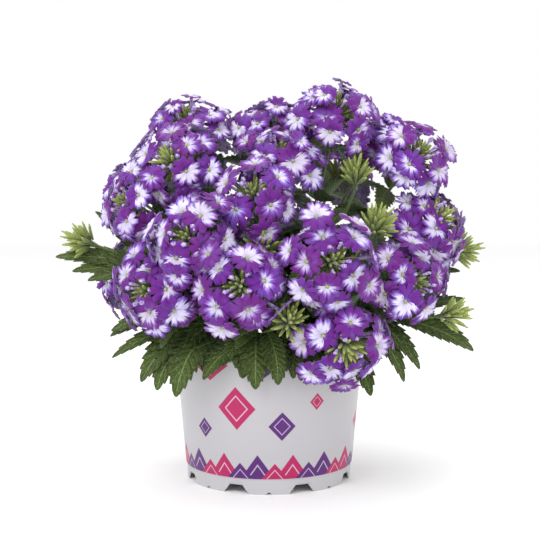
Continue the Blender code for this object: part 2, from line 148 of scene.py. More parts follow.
# How a floret tries to stand clear of its neighbours: lift along the way it faces and outwards in mm, more
# tilt in degrees, and size
FLORET_WAYS = (
    (0, 0, 0, 1),
    (1.5, 0, 0, 1),
    (-1.5, 0, 0, 1),
    (0, 1.5, 4, 1),
    (3, 0, -4, 1),
    (-3, 0, 4, 1),
    (0, 3, 6, 0.95),
    (2, 2, -8, 0.92),
    (-2, -1, 8, 0.92),
    (4.5, 0, -8, 0.9),
    (-4.5, 0, 8, 0.9),
    (0, 0, 0, 0.85),
    (0, 2, 14, 0.82),
    (0, -1, -14, 0.8),
)

# The leaves by rule, as in their solids: twist about the stem and lean off it to try in turn, in degrees
LEAF_WAYS = tuple((twist, lean) for twist in (0, 25, -25, 50, -50, 75, -75) for lean in (62, 45, 80))
LEAF_LENGTH = 40 * MM
LEAF_WIDTH = 21 * MM
LEAF_ARCH = 5 * MM
LEAF_SHARE = 0.6
LEAF_TEETH = 10
LISTED_LEAF_SHADE = 0.4
LISTED_LEAF_ROLL = Vector((0, -1.1, 0))

# Smaller leaves keep out of the dome of each head
DOME_MIDDLE = 6 * MM
DOME_RADIUS = 27 * MM

# The stems that flower: name, place of the hub in mm, bearing and rise of the way it faces in degrees
FLOWERING = (
    ("left_top", (-61, -51, 222), -20, 25),
    ("left_crest", (-57, -7, 247), -15, 60),
    ("left_wing", (-88, -38, 196), -44, 18),
    ("left_middle", (-49, -86, 175), -15, 14),
    ("left_low", (-74, -70, 142), -30, 0),
    ("centre_low", (-17, -99, 147), -5, 3),
    ("centre_right", (38, -96, 161), 10, 12),
    ("crest_right", (45, -30, 256), 5, 50),
    ("right_top", (98, -33, 226), 32, 35),
    ("right_wing", (108, -32, 182), 46, 26),
    ("right_low", (89, -66, 147), 34, 3),
    ("front_low", (47, -85, 111), 12, -15),
    ("crest_middle", (4, -2, 245), 0, 64),
    ("crest_front", (8, -46, 223), 6, 48),
    ("centre_top", (-9, -70, 199), -6, 30),
    ("left_side", (-98, 22, 202), -98, 26),
    ("left_side_low", (-102, 24, 146), -104, 0),
    ("back_left_top", (-56, 54, 224), -138, 44),
    ("back_left", (-48, 90, 148), -156, 0),
    ("back_middle", (2, 97, 190), 178, 20),
    ("back_right_top", (52, 60, 216), 146, 36),
    ("back_right", (54, 88, 146), 152, 0),
    ("right_side", (108, 24, 156), 100, 4),
    ("right_crest", (78, 14, 237), 78, 50),
    ("crest_back", (-2, 44, 247), 180, 60),
)

# Young shoots: name, stem they branch from, share of the way up it, place of the hub in mm, bearing, rise
YOUNG = (
    ("young_left", "left_wing", 0.5, (-122, -13, 168), -62, 20),
    ("young_right", "right_low", 0.5, (113, -55, 122), 52, 8),
    ("young_right_high", "right_side", 0.55, (126, -10, 164), 74, 6),
    ("young_top", "crest_right", 0.55, (59, -42, 208), 5, 62),
    ("young_centre", "centre_top", 0.6, (-4, -74, 163), 0, 42),
    ("young_inner", "centre_right", 0.62, (68, -64, 176), 24, 45),
    ("young_front", "centre_low", 0.4, (12, -86, 120), 5, 18),
    ("young_back", "left_side", 0.5, (-100, 64, 182), -124, 25),
)

# Flowering heads whose tuft is as full and pale as that of a young shoot
FULL_TUFTS = ("left_top", "right_wing", "front_low")

# The large leaves: stem, share of the way up it, place of the tip in mm, how far the leaf arches and its
# width in mm
LARGE_LEAVES = (
    ("left_low", 0.5, (-62, -78, 71), 20, 28),
    ("left_low", 0.6, (-76, -64, 73), 16, 27),
    ("left_low", 0.72, (-108, -52, 112), 10, 20),
    ("left_low", 0.66, (-107, -56, 94), 8, 14),
    ("centre_low", 0.4, (-44, -74, 82), 14, 20),
    ("centre_low", 0.5, (-9, -78, 76), 16, 24),
    ("young_front", 0.5, (6, -78, 79), 12, 20),
    ("right_low", 0.62, (91, -66, 79), 20, 18),
    ("young_right", 0.8, (139, -58, 99), 8, 20),
    ("young_right", 0.7, (134, -50, 134), 4, 14),
    ("young_left", 0.72, (-152, -18, 161), 6, 19),
    ("young_left", 0.6, (-127, -32, 145), 6, 18),
    ("young_left", 0.86, (-125, -8, 193), 6, 13),
)

# More leaves at the sides and the rim, given as the large ones are, which the solids don't have
SIDE_LEAVES = (
    ("left_low", 0.62, (-87, -60, 78), 14, 25),
    ("left_low", 0.75, (-109, -50, 108), 10, 16),
    ("right_low", 0.68, (102, -62, 87), 16, 18),
    ("right_low", 0.6, (95, -60, 96), 14, 18),
    ("right_low", 0.5, (68, -74, 71), 12, 22),
    ("young_left", 0.62, (-139, -25, 151), 6, 18),
    ("right_side", 0.8, (138, -8, 150), 8, 18),
)


# Numbers of the further materials of a piece. Number 0 is the stem's, the petals' or the soil's own
LEAF, CALYX = 1, 2
TUBE, EYE = 1, 2
PERLITE = 1

# The lens in mm and the camera's dip, as measured from the photo, and a shift of one of its 540 pixels
CAMERA_LENS = 73.07
CAMERA_DIP = math.atan(71 / 1096)
CAMERA_SHIFT = 1 / 540

# The lights: name, place, width in metres and power in watts
LIGHTS = (
    ("key_light", (-0.7, -1.1, 1.3), 0.9, 12),
    ("fill_light", (1.0, -1.0, 0.7), 1.2, 3),
    ("top_light", (0, 0.3, 1.6), 1.2, 7),
)
LIGHTS_AIM = (0, 0, 0.15)


def linear(code):
    """The linear colour of an sRGB hex code."""
    parts = [int(code[place : place + 2], 16) / 255 for place in (1, 3, 5)]
    return tuple(part / 12.92 if part <= 0.04045 else ((part + 0.055) / 1.055) ** 2.4 for part in parts)


# Settings


def colour_setting(name, code, description):
    return bpy.props.FloatVectorProperty(
        name=name, description=description, subtype="COLOR", size=3, min=0, max=1, default=linear(code)
    )


def length_setting(name, default, low, high, description):
    return bpy.props.FloatProperty(
        name=name, description=description, default=default, min=low, max=high, unit="LENGTH"
    )


class BloomSettings(bpy.types.PropertyGroup):
    floret_radius: length_setting("Floret radius", 12.2 * MM, 6 * MM, 16 * MM, "From eye to petal tips")
    petal_thickness: length_setting("Petal thickness", 0.25 * MM, 0.1 * MM, 1 * MM, "Thickness of a petal")
    violet: colour_setting("Violet", "#681781", "Body of the violet petals")
    lilac: colour_setting("Lilac", "#8F66BE", "Where the white of a petal runs into its violet")
    white: colour_setting("White", "#D6CEE2", "White of the petals that face outwards")
    eye: colour_setting("Eye", "#B7B87A", "Throat of a floret")


class FoliageSettings(bpy.types.PropertyGroup):
    spare_leaves: bpy.props.IntProperty(
        name="Leaf pairs to a stem",
        description="Pairs of smaller leaves that fill the plant between the heads",
        default=6,
        min=0,
        max=8,
    )
    leaf_thickness: length_setting("Leaf thickness", 0.35 * MM, 0.1 * MM, 1 * MM, "Thickness of a leaf")
    # The dark and bright leaf greens: partly old and young leaves, and partly painted shade for leaves deep in
    # the plant and painted light for leaves in full light
    dark_leaf: colour_setting("Old leaf", "#233210", "Leaves deep in the plant")
    bright_leaf: colour_setting("Young leaf", "#5E7426", "Leaves in full light")
    vein: colour_setting("Vein", "#8DA860", "Midrib and side veins")
    stem: colour_setting("Stem", "#6C8538", "Square stems")
    bud: colour_setting("Calyx", "#93A046", "Pointed calyxes of the tufts")


class PotSettings(bpy.types.PropertyGroup):
    wall: colour_setting("Wall", "#B7B5B9", "White moulded plastic")
    pink: colour_setting("Pink print", "#AE1458", "Pink lozenges of the print")
    purple: colour_setting("Purple print", "#53196E", "Purple lozenges of the print")


class StudioSettings(bpy.types.PropertyGroup):
    camera_distance: length_setting("Camera distance", 0.798, 0.3, 3, "From the pot's axis to the camera")
    camera_height: length_setting("Camera height", 0.202, 0, 1, "Height of the camera above the floor")
    floor: colour_setting("Floor", "#FDFDFD", "Plain paper floor")


# Materials


def add_node(tree, kind, inputs, output=0, **settings):
    """Adds a node and gives one of its outputs. Inputs come in order, or by name or number. Each is a
    number, a colour or the socket that feeds it. Stops are those of a colour ramp."""
    node = tree.nodes.new("ShaderNode" + kind)
    stops = settings.pop("stops", ())
    for name, value in settings.items():
        setattr(node, name, value)
    while stops and len(node.color_ramp.elements) < len(stops):
        node.color_ramp.elements.new(0.5)
    for index, (place, colour) in enumerate(stops):
        node.color_ramp.elements[index].position = place
        node.color_ramp.elements[index].color = (*colour, 1)
    for name, value in (inputs if isinstance(inputs, dict) else dict(enumerate(inputs))).items():
        if isinstance(value, bpy.types.NodeSocket):
            tree.links.new(value, node.inputs[name])
        else:
            node.inputs[name].default_value = value if isinstance(value, (int, float)) else (*value, 1)
    return node.outputs[output]


def new_material(name, roughness, **values):
    """A material whose shader takes the given constant values, and the function that adds nodes to it."""
    material = bpy.data.materials.new(name)
    material.use_nodes = True
    shader = material.node_tree.nodes["Principled BSDF"]
    shader.inputs["Roughness"].default_value = roughness
    for socket, value in values.items():
        shader.inputs[socket.replace("_", " ")].default_value = value
    return material, functools.partial(add_node, material.node_tree)


def finished(material, colour, relief=None, depth=0.0, strength=0.0):
    """The material, with its colour and any relief led to its shader."""
    tree = material.node_tree
    shader = tree.nodes["Principled BSDF"]
    tree.links.new(colour, shader.inputs["Base Color"])
    if relief is not None:
        normal = add_node(tree, "Bump", {"Height": relief, "Distance": depth, "Strength": strength})
        tree.links.new(normal, shader.inputs["Normal"])
    return material


def spots(size):
    """The scale of a noise whose spots have this size in mm."""
    return 1 / (size * MM)


def speckled_material(name, roughness, size, first, second, detail=2.0, depth=0.0):
    """Two colours that mix in spots of this size in mm. With a depth, the spots also stand out."""
    material, node = new_material(name, roughness)
    place = node("TexCoord", {}, "Object")
    cloud = node("TexNoise", {"Vector": place, "Scale": spots(size), "Detail": detail})
    colour = node("Mix", {0: cloud, 6: first, 7: second}, 2, data_type="RGBA")
    return finished(material, colour, cloud if depth else None, depth, 1.0)


def add_hairs(node, colour, size, bare, strength, pale, detail=2.0):
    """A colour with spots of pale hair over it, of this size in mm, and the spots alone for a relief. Bare is
    the level of the noise that the spots rise above."""
    place = node("TexCoord", {}, "Object")
    hairs = node("TexNoise", {"Vector": place, "Scale": spots(size), "Detail": detail})
    there = node("Math", (hairs, bare), operation="GREATER_THAN")
    share = node("Math", (there, strength), operation="MULTIPLY")
    return node("Mix", {0: share, 6: colour, 7: linear(pale)}, 2, data_type="RGBA"), hairs


def petal_material(blooms):
    """Verbena petal: thin, velvety and matt. Violet with streaks along the petal and bluish patches, and
    white from the eye out as far as the mesh's pale value says, with a lilac between. The streaks follow the
    petal's own measures. They are about half a millimetre wide, coarser than life, so that they show."""
    material, node = new_material("verbena_petal", 0.6, Sheen_Weight=0.1, Specular_IOR_Level=0.25)
    names = ("reach", "across", "pale", "tint", "under")
    reach, across, pale, tint, under = [node("Attribute", {}, "Fac", attribute_name=name) for name in names]
    sideways = node("Math", (across, 5.0), operation="MULTIPLY")
    own_place = node("Math", (tint, 9.0), operation="MULTIPLY")
    lie = node("CombineXYZ", (sideways, reach, own_place))
    streaks = node("TexNoise", {"Vector": lie, "Scale": 2.4, "Detail": 3.0})
    off_streak = node("Math", (streaks, 0.5), operation="SUBTRACT")
    ragged = node("Math", (off_streak, 0.75, reach), operation="MULTIPLY_ADD")
    edge = node("Math", (across,), operation="ABSOLUTE")
    rim = node("Math", (edge, 3.0), operation="POWER")
    fringe = node("Math", (rim, 0.22, ragged), operation="MULTIPLY_ADD")
    past_white = node("Math", (fringe, pale), operation="SUBTRACT")
    share = node("Math", (past_white, 1.5, 0.5), operation="MULTIPLY_ADD")
    stops = ((0.18, blooms.white), (0.5, blooms.lilac), (0.82, blooms.violet))
    colour = node("ValToRGB", {"Fac": share}, stops=stops)
    dark = {0: 1.0, 6: colour, 7: linear("#DDD7EF")}
    darker = node("Mix", dark, 2, data_type="RGBA", blend_type="MULTIPLY")
    streak = node("Math", (streaks, 0.54), operation="GREATER_THAN")
    streak = node("Math", (streak, 0.6), operation="MULTIPLY")
    colour = node("Mix", {0: streak, 6: colour, 7: darker}, 2, data_type="RGBA")
    cloud = node("TexNoise", {"Vector": node("TexCoord", {}, "Object"), "Scale": spots(100 / 11)})
    patch = node("MapRange", {0: cloud, 1: 0.48, 2: 0.68, 4: 0.5})
    bluish = node("Mix", {0: 0.4, 6: colour, 7: linear("#8A74D8")}, 2, data_type="RGBA")
    colour = node("Mix", {0: patch, 6: colour, 7: bluish}, 2, data_type="RGBA")
    # Paler backs of the petals: partly their own paler colour, and partly painted light that lifts the shade on
    # backs turned away from the lamps
    back = node("Math", (under, 0.85), operation="MULTIPLY")
    colour = node("Mix", {0: back, 6: colour, 7: linear("#C9B4E2")}, 2, data_type="RGBA")
    hue = node("Math", (tint, 0.016, 0.497), operation="MULTIPLY_ADD")
    value = node("Math", (tint, -0.13, 0.99), operation="MULTIPLY_ADD")
    colour = node("HueSaturation", {"Hue": hue, "Value": value, "Color": colour})
    return finished(material, colour, streaks, 0.3 * MM, 0.5)


def tube_material():
    """The slender tube of a floret and the backs of its rolled buds: pale lilac, with faint clouds."""
    material, node = new_material("verbena_tube", 0.5, Sheen_Weight=0.2)
    cloud = node("TexNoise", {"Vector": node("TexCoord", {}, "Object"), "Scale": spots(10 / 7)})
    middle = node("Math", (cloud, 0.5), operation="SUBTRACT")
    share = node("Math", (middle, 3.0, 0.45), operation="MULTIPLY_ADD")
    shades = {0: share, 6: linear("#8A5FBC"), 7: linear("#D6C8E8")}
    return finished(material, node("Mix", shades, 2, data_type="RGBA"))


def eye_material(blooms):
    """The throat of a floret: a dull greenish yellow, with hairs drawn coarser than life so that they show."""
    return speckled_material("verbena_eye", 0.7, 5 / 9, blooms.eye, linear("#8A9450"))


def leaf_material(foliage):
    """Verbena leaf: a rough matt blade with sunken veins and short hairs, which give it a grey sheen. Each
    leaf takes, at random, a green between a dark and a bright one: partly its age, as old leaves are darker,
    and partly painted shade and painted light, the dark green standing for leaves deep in the plant and the
    bright one for leaves in full light. The underside is paler. Hairs are drawn coarser than life, so that
    they show."""
    material, node = new_material(
        "verbena_leaf", 0.55, Sheen_Weight=0.1, Sheen_Roughness=0.5, Specular_IOR_Level=0.3
    )
    names = ("reach", "across", "tint", "under")
    reach, sideways, shade, under = [node("Attribute", {}, "Fac", attribute_name=name) for name in names]
    across = node("Math", (sideways,), operation="ABSOLUTE")
    place = node("TexCoord", {}, "Object")
    mottle = node("TexNoise", {"Vector": place, "Scale": spots(50 / 13), "Detail": 3.0})
    off_mottle = node("Math", (mottle, 0.5), operation="SUBTRACT")
    # Painted shade and light: each leaf's random share, with mottling, between the dark green of leaves deep in
    # the plant and the bright green of leaves in full light, partly standing for its age
    age_and_painted_shade = node("Math", (off_mottle, 0.7, shade), operation="MULTIPLY_ADD")
    colour = node("Mix", {0: age_and_painted_shade, 6: foliage.dark_leaf, 7: foliage.bright_leaf}, 2, data_type="RGBA")
    rise = node("Math", (across, -0.2, reach), operation="MULTIPLY_ADD")
    rise = node("Math", (rise, LEAF_TEETH + 1.0), operation="MULTIPLY")
    between = node("Math", (rise,), operation="FRACT")
    between = node("Math", (between, 0.5), operation="SUBTRACT")
    from_middle = node("Math", (between,), operation="ABSOLUTE")
    rib = node("Math", (from_middle, 0.45), operation="GREATER_THAN")
    rib = node("Math", (rib, 0.28), operation="MULTIPLY")
    midrib = node("Math", (across, 0.045), operation="LESS_THAN")
    midrib = node("Math", (midrib, 0.6), operation="MULTIPLY")
    vein = node("Math", (rib, midrib), operation="MAXIMUM")
    colour = node("Mix", {0: vein, 6: colour, 7: foliage.vein}, 2, data_type="RGBA")
    colour = add_hairs(node, colour, 10 / 9, 0.62, 0.3, "#A9B58C", 1.0)[0]
    field = node("Math", (0.5, from_middle), operation="SUBTRACT")
    field = node("Math", (field, 0.35), operation="MULTIPLY")
    colour = node("Mix", {0: field, 6: colour, 7: foliage.dark_leaf}, 2, data_type="RGBA")
    back = node("Math", (under, 0.45), operation="MULTIPLY")
    colour = node("Mix", {0: back, 6: colour, 7: linear("#7F9A6A")}, 2, data_type="RGBA")
    hairs = node("TexNoise", {"Vector": place, "Scale": spots(2 / 3)})
    relief = node("Math", (from_middle, -1.6, hairs), operation="MULTIPLY_ADD")
    return finished(material, colour, relief, 0.6 * MM, 0.8)


def stem_material(foliage):
    """Verbena stem: green and ridged, with short pale hairs, drawn coarser than life so that they show."""
    material, node = new_material("verbena_stem", 0.6, Sheen_Weight=0.3)
    cloud = node("TexNoise", {"Vector": node("TexCoord", {}, "Object"), "Scale": spots(100 / 9)})
    colour = node("Mix", {0: cloud, 6: foliage.stem, 7: linear("#48602A")}, 2, data_type="RGBA")
    colour, hairs = add_hairs(node, colour, 5 / 7, 0.6, 0.35, "#C3CE9C")
    return finished(material, colour, hairs, 0.4 * MM, 0.6)


def calyx_material(foliage):
    """Calyxes of unopened buds: yellow green and hairy, with darker feet. Those of shed florets are duller.
    The hairs are drawn coarser than life, so that they show."""
    material, node = new_material("verbena_calyx", 0.6, Sheen_Weight=0.35)
    reach, tint = [node("Attribute", {}, "Fac", attribute_name=name) for name in ("reach", "tint")]
    colour = node("Mix", {0: reach, 6: linear("#5C7428"), 7: foliage.bud}, 2, data_type="RGBA")
    colour = node("Mix", {0: tint, 6: linear("#6E7A34"), 7: colour}, 2, data_type="RGBA")
    colour, hairs = add_hairs(node, colour, 10 / 11, 0.58, 0.4, "#C9D48E")
    return finished(material, colour, hairs, 0.4 * MM, 0.7)


def soil_material():
    """Peat potting soil: dark brown fibres and crumbs, quite matt."""
    return speckled_material("peat_soil", 0.95, 5 / 3, linear("#1E140D"), linear("#4A3524"), 5.0, 0.8 * MM)


def perlite_material():
    """Perlite grains in the soil: chalky white volcanic glass."""
    return speckled_material("perlite_grain", 0.8, 2 / 3, linear("#D8D4CB"), linear("#F2EFE8"))


def floor_material(studio):
    """Matt white background paper, with wide faint clouds."""
    return speckled_material("background_paper", 0.9, 1000 / 3, studio.floor, linear("#F9F9F9"))


def lozenges(node, turn, height, count, first, middle, half_height, fill):
    """How far inside a row of lozenges round the pot the surface lies, and which of them it is, counted
    from the first bearing in degrees. Below 0 is outside. Fill is the share of its room that a lozenge's
    width takes."""
    place = node("Math", (turn, count / math.tau, 100 - first * count / 360), operation="MULTIPLY_ADD")
    index = node("Math", (place,), operation="FLOOR")
    beside = node("Math", (place,), operation="FRACT")
    beside = node("Math", (beside, 0.5), operation="SUBTRACT")
    beside = node("Math", (beside,), operation="ABSOLUTE")
    above = node("Math", (height, middle), operation="SUBTRACT")
    above = node("Math", (above,), operation="ABSOLUTE")
    above = node("Math", (above, 1 / half_height), operation="MULTIPLY")
    spread = node("Math", (beside, 2 / fill, above), operation="MULTIPLY_ADD")
    return node("Math", (1.0, spread), operation="SUBTRACT"), index


def pot_material(pot):
    """Moulded white polypropylene with a smooth satin skin, and a printed wrap of pink and purple lozenges
    between the foot band and the lip, with a paler line inside each lozenge."""
    material, node = new_material("printed_polypropylene", 0.38, Specular_IOR_Level=0.45)
    place = node("TexCoord", {}, "Object")
    x, y, height = node("SeparateXYZ", (place,)).node.outputs
    ahead = node("Math", (y, -1.0), operation="MULTIPLY")
    turn = node("Math", (x, ahead), operation="ARCTAN2")
    printed = pot.wall
    for count, first, middle, half_height, fill, odd in PRINT_ROWS:
        inside, index = lozenges(node, turn, height, count, first, middle, half_height, fill)
        index = node("Math", (index, odd), operation="ADD")
        which = node("Math", (index, 2.0), operation="MODULO")
        ink = node("Mix", {0: which, 6: pot.pink, 7: pot.purple}, 2, data_type="RGBA")
        off_line = node("Math", (inside, PRINT_LINE_INSET), operation="SUBTRACT")
        off_line = node("Math", (off_line,), operation="ABSOLUTE")
        line = node("Math", (off_line, PRINT_LINE_WIDTH / 2), operation="LESS_THAN")
        line = node("Math", (line, 0.5), operation="MULTIPLY")
        ink = node("Mix", {0: line, 6: ink, 7: linear("#EDE7F1")}, 2, data_type="RGBA")
        within = node("Math", (inside, 0.0), operation="GREATER_THAN")
        printed = node("Mix", {0: within, 6: printed, 7: ink}, 2, data_type="RGBA")
    square = node("Math", (y, y), operation="MULTIPLY")
    square = node("Math", (x, x, square), operation="MULTIPLY_ADD")
    outer = node("Math", (square,), operation="SQRT")
    lean = (POT_TOP_RADIUS - POT_WAIST_RADIUS) / (POT_HEIGHT - LIP_HEIGHT - SKIRT_HEIGHT)
    below_skin = POT_WAIST_RADIUS - lean * SKIRT_HEIGHT - 0.6 * MM
    skin = node("Math", (height, lean, below_skin), operation="MULTIPLY_ADD")
    wrap = node("Math", (outer, skin), operation="GREATER_THAN")
    for limit, side in ((SKIRT_HEIGHT, "GREATER_THAN"), (POT_HEIGHT - LIP_HEIGHT - 0.2 * MM, "LESS_THAN")):
        within = node("Math", (height, limit), operation=side)
        wrap = node("Math", (wrap, within), operation="MULTIPLY")
    cloud = node("TexNoise", {"Vector": place, "Scale": spots(25)})
    share = node("Math", (cloud, 0.25), operation="MULTIPLY")
    bare = node("Mix", {0: share, 6: pot.wall, 7: linear("#CBCBCD")}, 2, data_type="RGBA")
    colour = node("Mix", {0: wrap, 6: bare, 7: printed}, 2, data_type="RGBA")
    satin = node("TexNoise", {"Vector": place, "Scale": spots(5 / 11)})
    return finished(material, colour, satin, 0.05 * MM, 0.25)


# Places, as in the solids


def facing(bearing, rise):
    """The unit vector that looks this way, both in degrees."""
    turn, lift = math.radians(bearing), math.radians(rise)
    return Vector((math.sin(turn) * math.cos(lift), -math.cos(turn) * math.cos(lift), math.sin(lift)))


def frame_at(origin, outward, upward=Vector((0, 0, 1))):
    """A frame at origin whose Z axis is outward and whose Y axis leans towards upward."""
    side = upward.cross(outward)
    if side.length < 1e-4:
        side = Vector((1, 0, 0))
    side.normalize()
    rotation = Matrix((side, outward.cross(side), outward)).transposed().to_4x4()
    return Matrix.Translation(origin) @ rotation


def polar(distance, tilt, turn):
    """A point at this distance, tilt degrees off the Z axis and turn degrees round it."""
    lean, spin = math.radians(tilt), math.radians(turn)
    flat = distance * math.sin(lean)
    return Vector((flat * math.cos(spin), flat * math.sin(spin), distance * math.cos(lean)))


def curve(foot, rise, hub, outward):
    """Points along one bend from foot, which first runs along rise, to the hub, where it runs outward."""
    reach = (hub - foot).length
    near = foot + 0.32 * reach * rise
    far = hub - 0.35 * reach * outward
    points = []
    for step in range(STEM_STEPS):
        share = step / STEM_STEPS
        rest = 1 - share
        bend = rest**3 * foot + 3 * rest**2 * share * near + 3 * rest * share**2 * far
        points.append(bend + share**3 * hub)
    return points


def stem_line(hub, outward):
    """The line of a stem: straight up out of its hole, then in one curve to the hub."""
    spread = STEM_SPREAD - STEM_GATHER * (hub.z - SOIL_MIDDLE)
    surface = Vector((hub.x * spread, hub.y * spread, SOIL_MIDDLE))
    rise = (Vector((0, 0, 1)) + 0.35 * Vector((outward.x, outward.y, 0))).normalized()
    return [surface - Vector((0, 0, STEM_DEPTH))] + curve(surface, rise, hub, outward)


def along(points, share):
    """The place at this share of the way up a stem, and the way the stem runs there."""
    lengths = [(after - before).length for before, after in zip(points, points[1:])]
    left = share * sum(lengths)
    for before, after, length in zip(points, points[1:], lengths):
        if left <= length:
            return before.lerp(after, left / length), (after - before).normalized()
        left -= length
    return points[-1], (points[-1] - points[-2]).normalized()


def plant():
    """Every head and shoot by name: its hub, outward way, line, parent stem and whether it is young."""
    shoots = {}
    for name, place, bearing, rise in FLOWERING:
        hub, outward = Vector(place) * MM, facing(bearing, rise)
        shoots[name] = (hub, outward, stem_line(hub, outward), name, False)
    for name, parent, share, place, bearing, rise in YOUNG:
        hub, outward = Vector(place) * MM, facing(bearing, rise)
        foot, run = along(shoots[parent][2], share)
        shoots[name] = (hub, outward, curve(foot, (run + outward).normalized(), hub, outward), parent, True)
    return shoots


@functools.cache
def floret_stances(radius):
    """The florets of every head by name: root, stance, size, tint and which limb each has. It takes the
    first of the ways that crosses its neighbours least."""
    sheet = blade(4, 2)
    limbs = [limb(sheet, radius, 0.3 * MM, seed) for seed in range(LIMBS)]
    taken, heads = [], {}
    for name, place, bearing, rise in FLOWERING:
        chance = random.Random(name)
        head_at = frame_at(Vector(place) * MM, facing(bearing, rise))
        heads[name] = []
        rings = FLORET_RINGS + ((EARLY_RING,) if rise > EARLY_RISE else ())
        for ring, (count, out, up, tilt) in enumerate(rings):
            first = chance.uniform(0, 360)
            for index in range(count):
                turn = first + 360 * (index + chance.uniform(-0.16, 0.16)) / count
                root_height = COLLAR_TOP + (1 - ring) * 2.5 * MM
                root = head_at @ (polar(3.5 * MM, 90, turn) + Vector((0, 0, root_height)))
                offset = (out + chance.uniform(-2.6, 2.6) * MM, up + chance.uniform(-3, 2.4) * MM)
                lean, swing = tilt + chance.uniform(-17, 15), turn + chance.uniform(-14, 14)
                spin = turn + chance.uniform(-14, 14)
                size, kind = chance.uniform(0.84, 1.08), chance.randrange(LIMBS)
                size *= EARLY_SIZE if ring == len(FLORET_RINGS) else 1
                trials = [stance_of(head_at, turn, offset, lean, swing, spin, way) for way in FLORET_WAYS]
                sizes = [size * way[3] for way in FLORET_WAYS]
                trees = [tree_of(limbs[kind], *trial) for trial in zip(trials, sizes)]
                centre = trials[0].translation
                near = [tree for other, tree in taken if (other - centre).length < NEAR_FLORETS * radius]
                crossings = [sum(len(tree.overlap(other)) for other in near) for tree in trees]
                best = crossings.index(min(crossings))
                taken.append((trials[best].translation, trees[best]))
                heads[name].append((root, trials[best], sizes[best], chance.uniform(-1, 1), kind))
    return heads


def stance_of(head_at, turn, offset, lean, swing, spin, way):
    """The frame of a floret at this turn round its head, moved in one of the ways."""
    lift, further, more, size = way
    face = polar(1, lean + more, swing)
    centre = polar(offset[0] + further * MM, 90, turn) + Vector((0, 0, offset[1])) + face * lift * MM
    lie = head_at.to_3x3()
    return frame_at(head_at @ centre, lie @ face, lie @ -polar(1, 90, spin))


def tree_of(mesh, stance, size):
    """A mesh in its place, in the form that crossings are counted by."""
    bm = bmesh.new()
    bm.from_mesh(mesh)
    bmesh.ops.transform(bm, matrix=stance @ Matrix.Scale(size, 4), verts=bm.verts)
    tree = BVHTree.FromBMesh(bm)
    bm.free()
    return tree


def rooted(node_at, tip):
    """The foot of a leaf, a little off the middle of its stem."""
    return node_at + (tip - node_at).normalized() * 0.4 * MM


def arch_of(base, tip, height):
    """How a leaf arches between base and tip: up, and square to the straight line between them."""
    along_leaf = (tip - base).normalized()
    lift = Vector((0, 0, 1)) - along_leaf * along_leaf.z
    if lift.length < 0.5:
        lift += 0.7 * Vector((base.x, base.y, 0)).normalized()
        lift -= along_leaf * along_leaf.dot(lift)
    return lift.normalized() * height


def leaf_of(base, tip, height, width, shade, chance):
    """A leaf as the others are given: base, tip, arch, width, shade of green and roll. It rolls its upper
    face away from the pot's axis, to the light."""
    roll = Vector((base.x, base.y, 0)).normalized() * chance.uniform(0.1, 0.9)
    return base, tip, arch_of(base, tip, height), width, shade, roll


def listed_leaves(table, lines):
    """The leaves of a table on these lines: base, tip, arch, width, shade of green and roll."""
    grown = []
    for name, share, tip, arch, width in table:
        if name in lines:
            tip = Vector(tip) * MM
            base = rooted(along(lines[name], share)[0], tip)
            arch = arch_of(base, tip, arch * MM)
            grown.append((base, tip, arch, width * MM, LISTED_LEAF_SHADE, LISTED_LEAF_ROLL))
    return grown


def solid_leaves(owner, lines):
    """The leaves of a stem that its solid has."""
    grown = listed_leaves(LARGE_LEAVES, lines)
    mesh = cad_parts[owner + "_stem"].data
    corners = KDTree(len(mesh.vertices))
    for index, corner in enumerate(mesh.vertices):
        corners.insert(corner.co, index)
    corners.balance()
    chance = random.Random(owner)
    first = chance.uniform(0, 180)
    size = chance.uniform(0.85, 1.1)
    node_at, run = along(lines[owner], LEAF_SHARE)
    level = frame_at(node_at, run).to_3x3()
    for turn in (first, first + 180) if node_at.y < 0 else (first,):
        for twist, lean in LEAF_WAYS:
            tip = node_at + level @ polar(LEAF_LENGTH * size, lean, turn + twist)
            if corners.find(tip)[2] < 1 * MM:
                base, width = rooted(node_at, tip), LEAF_WIDTH * size
                grown.append(leaf_of(base, tip, LEAF_ARCH, width, chance.uniform(0.1, 0.6), chance))
                break
    return grown


def spare_leaves(owner, lines, pairs, heads):
    """Smaller leaves in opposite pairs up each line, where no head stands."""
    chance = random.Random(owner + " leaves")
    grown = []
    for name, line in lines.items():
        wanted = pairs if name == owner else 2
        for pair in range(wanted):
            share = 0.28 + 0.66 * (pair + chance.uniform(0.1, 0.9)) / wanted
            node_at, run = along(line, share)
            level = frame_at(node_at, run).to_3x3()
            turn = chance.uniform(0, 180)
            for side in (0, 180):
                length = chance.uniform(24, 38) * MM
                tip = node_at + level @ polar(length, chance.uniform(50, 78), turn + side)
                tip.z -= chance.uniform(0, 6) * MM
                if is_clear(node_at, tip, heads):
                    base, width = rooted(node_at, tip), length * chance.uniform(0.46, 0.58)
                    grown.append(leaf_of(base, tip, 4 * MM, width, chance.uniform(0, 0.75), chance))
    return grown


def rim_leaves(owner, line):
    """Leaves low on a stem that stand out over the pot's rim and hang down past it."""
    chance = random.Random(owner + " rim")
    grown = []
    bearing = math.degrees(math.atan2(line[-1].x, -line[-1].y))
    for side in (-1, 1):
        shares = (step / 50 for step in range(50))
        share = next(share for share in shares if along(line, share)[0].z > chance.uniform(94, 106) * MM)
        node_at = along(line, share)[0]
        turn = bearing + side * chance.uniform(4, 16)
        tip = facing(turn, 0) * chance.uniform(70, 80) * MM + Vector((0, 0, chance.uniform(80, 93) * MM))
        if Vector(node_at[:2]).length > 24 * MM:
            base = rooted(node_at, tip)
            width = (tip - base).length * chance.uniform(0.46, 0.6)
            grown.append(leaf_of(base, tip, 20 * MM, width, chance.uniform(0, 0.7), chance))
    return grown


